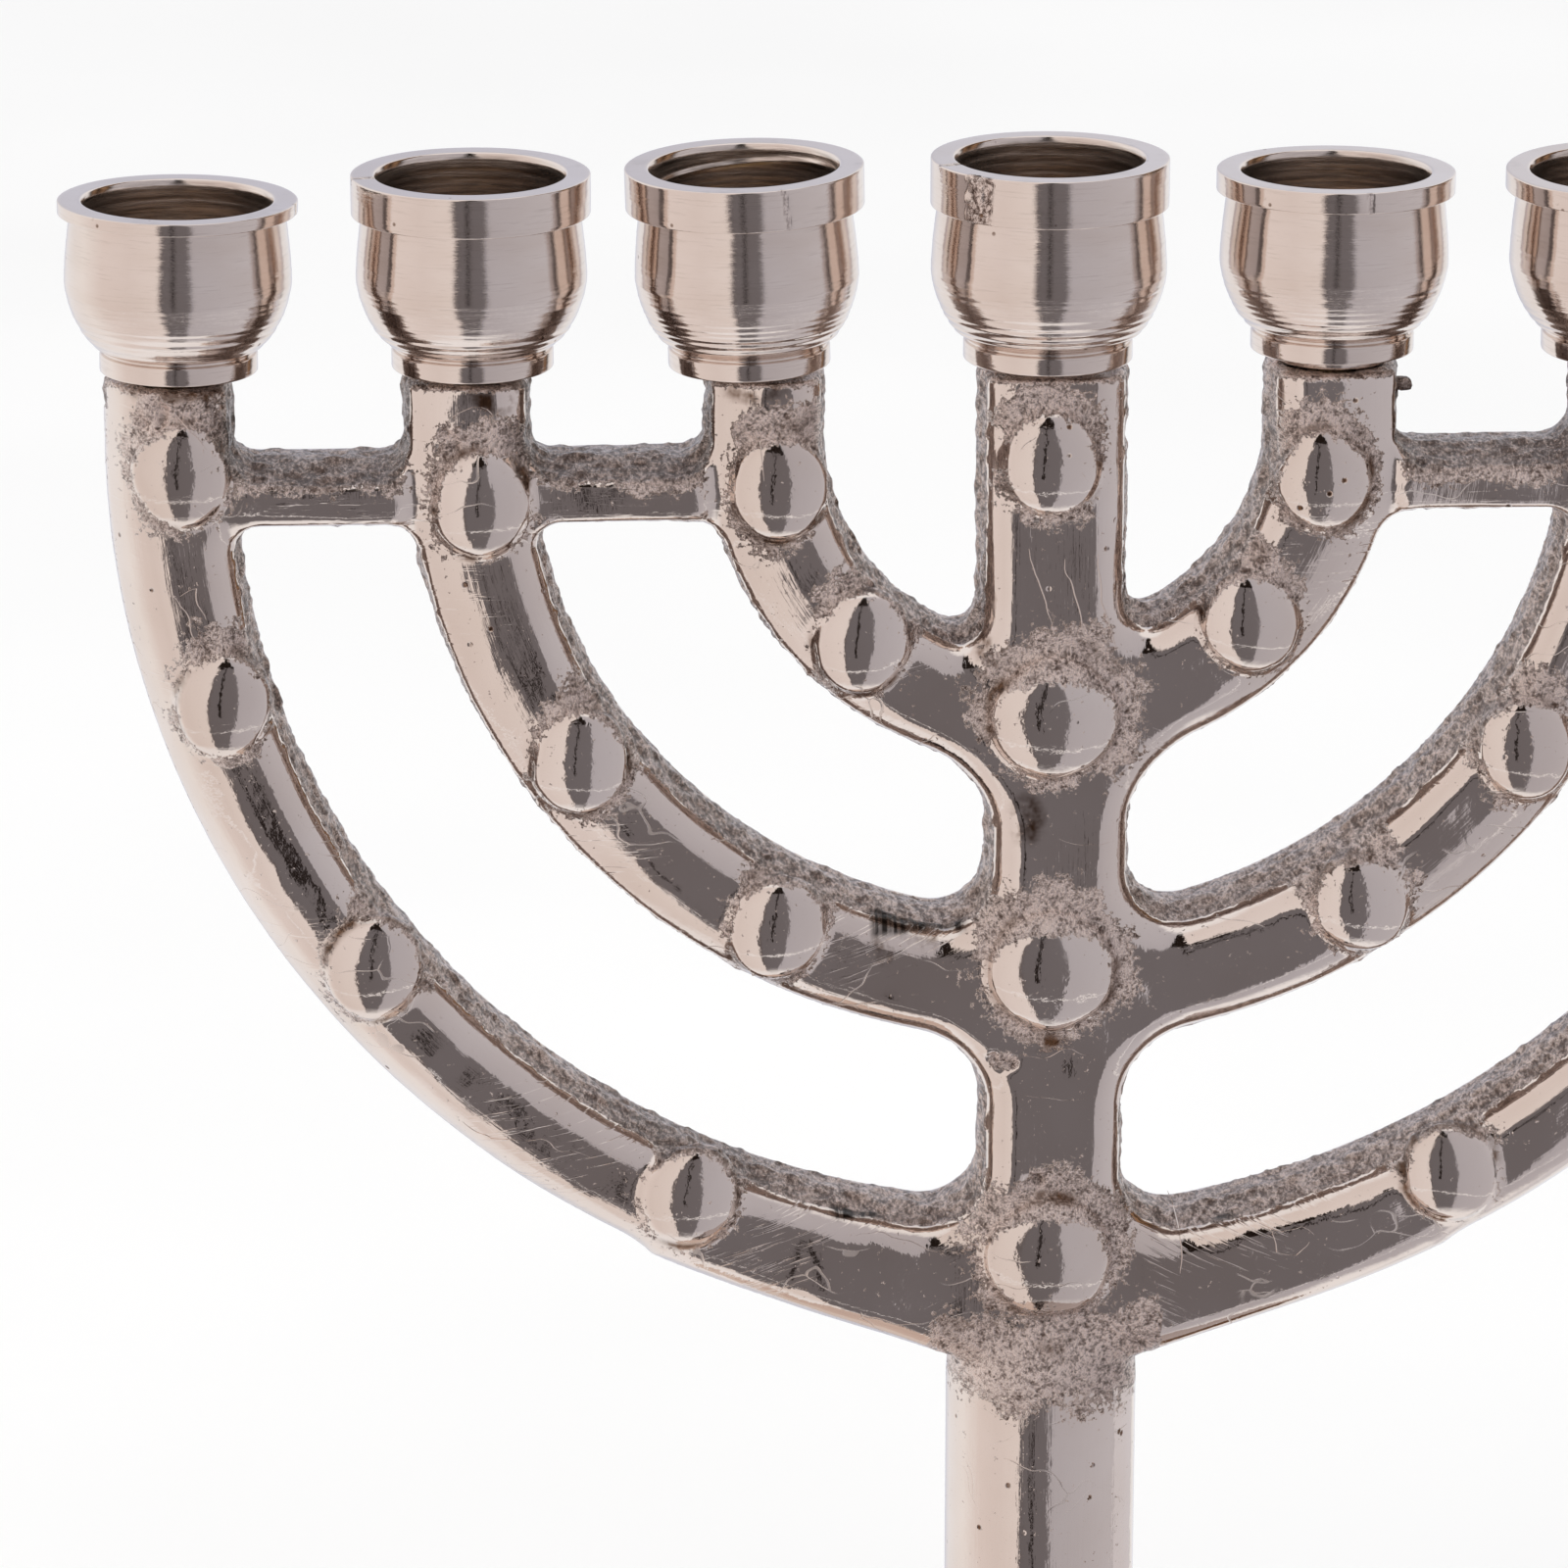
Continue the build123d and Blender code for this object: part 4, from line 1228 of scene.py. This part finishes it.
def floor():
    """A wide pale floor under the foot."""
    mesh = bpy.data.meshes.new("floor")
    turns = ((-1, -1), (1, -1), (1, 1), (-1, 1))
    corners = [(x * FLOOR_REACH, y * FLOOR_REACH, FLOOR_LEVEL) for x, y in turns]
    mesh.from_pydata(corners, [], [(0, 1, 2, 3)])
    plane = bpy.data.objects.new("floor", mesh)
    bpy.context.scene.collection.objects.link(plane)
    plane.data.materials.append(floor_material())
    plane.visible_glossy = False


def camera():
    """The camera, a little above the object and to the left of its front."""
    data = bpy.data.cameras.new("camera")
    data.lens = LENS
    data.sensor_width = SENSOR
    data.clip_start = 0.05
    data.clip_end = 50.0
    cam = bpy.data.objects.new("camera", data)
    bpy.context.scene.collection.objects.link(cam)
    flat = math.cos(CAMERA_ELEVATION)
    aside = math.sin(CAMERA_AZIMUTH) * flat
    back = Vector((aside, -math.cos(CAMERA_AZIMUTH) * flat, math.sin(CAMERA_ELEVATION)))
    cam.location = LOOK_AT + back * CAMERA_DISTANCE
    cam.rotation_euler = (-back).to_track_quat("-Z", "Y").to_euler()
    bpy.context.scene.camera = cam


# ---- assembly

def install(piece, slot, material, *nodes):
    """Gives a piece its material and puts it in the place of CAD nodes."""
    piece.data.materials.clear()
    piece.data.materials.append(material)
    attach(piece, "root")
    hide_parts(*nodes)


def repaint(node, material):
    """A new material on a CAD node that keeps its own shape."""
    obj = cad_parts[node]
    for place in obj.material_slots:
        place.material = material


camera()
studio()
floor()
softbox("left_light", (-0.7, -0.5, 0.6), (0, 0, 0.1), 0.8, 2.0, (1.0, 0.95, 0.9))
softbox("right_light", (0.7, -0.4, 0.5), (0, 0, 0.1), 0.8, 1.4, (0.95, 0.97, 1.0))

turned = turned_nickel()
install(casting(), "cast_nickel", cast_nickel(), "branch_frame")
cup_rows = zip(CUP_X, SEAT_HEIGHTS, CUP_HEIGHTS, FLANGE_HEIGHTS, BELLY_RADII, FOOT_RADII)
for number, (x, *shape) in enumerate(cup_rows, 1):
    install(candle_cup(number, x, *shape), "turned_nickel", turned, "candle_cup_" + str(number))
brass = plain_metal("brass_skin", BRASS, BRASS_DARK, 0.3)
steel = plain_metal("steel_skin", STEEL, STEEL_DARK, 0.35)
for number in range(1, len(CUP_X) + 1):
    repaint("cup_screw_" + str(number), brass)
spun = spun_nickel()
install(pedestal(), "turned_nickel", spun, "pedestal")
install(column_collar(), "turned_nickel", spun, "column_collar")
for node in ("tie_stud", "base_washer", "base_nut"):
    repaint(node, steel)

view = bpy.context.scene.view_settings
view.view_transform = "Standard"
view.look = "None"
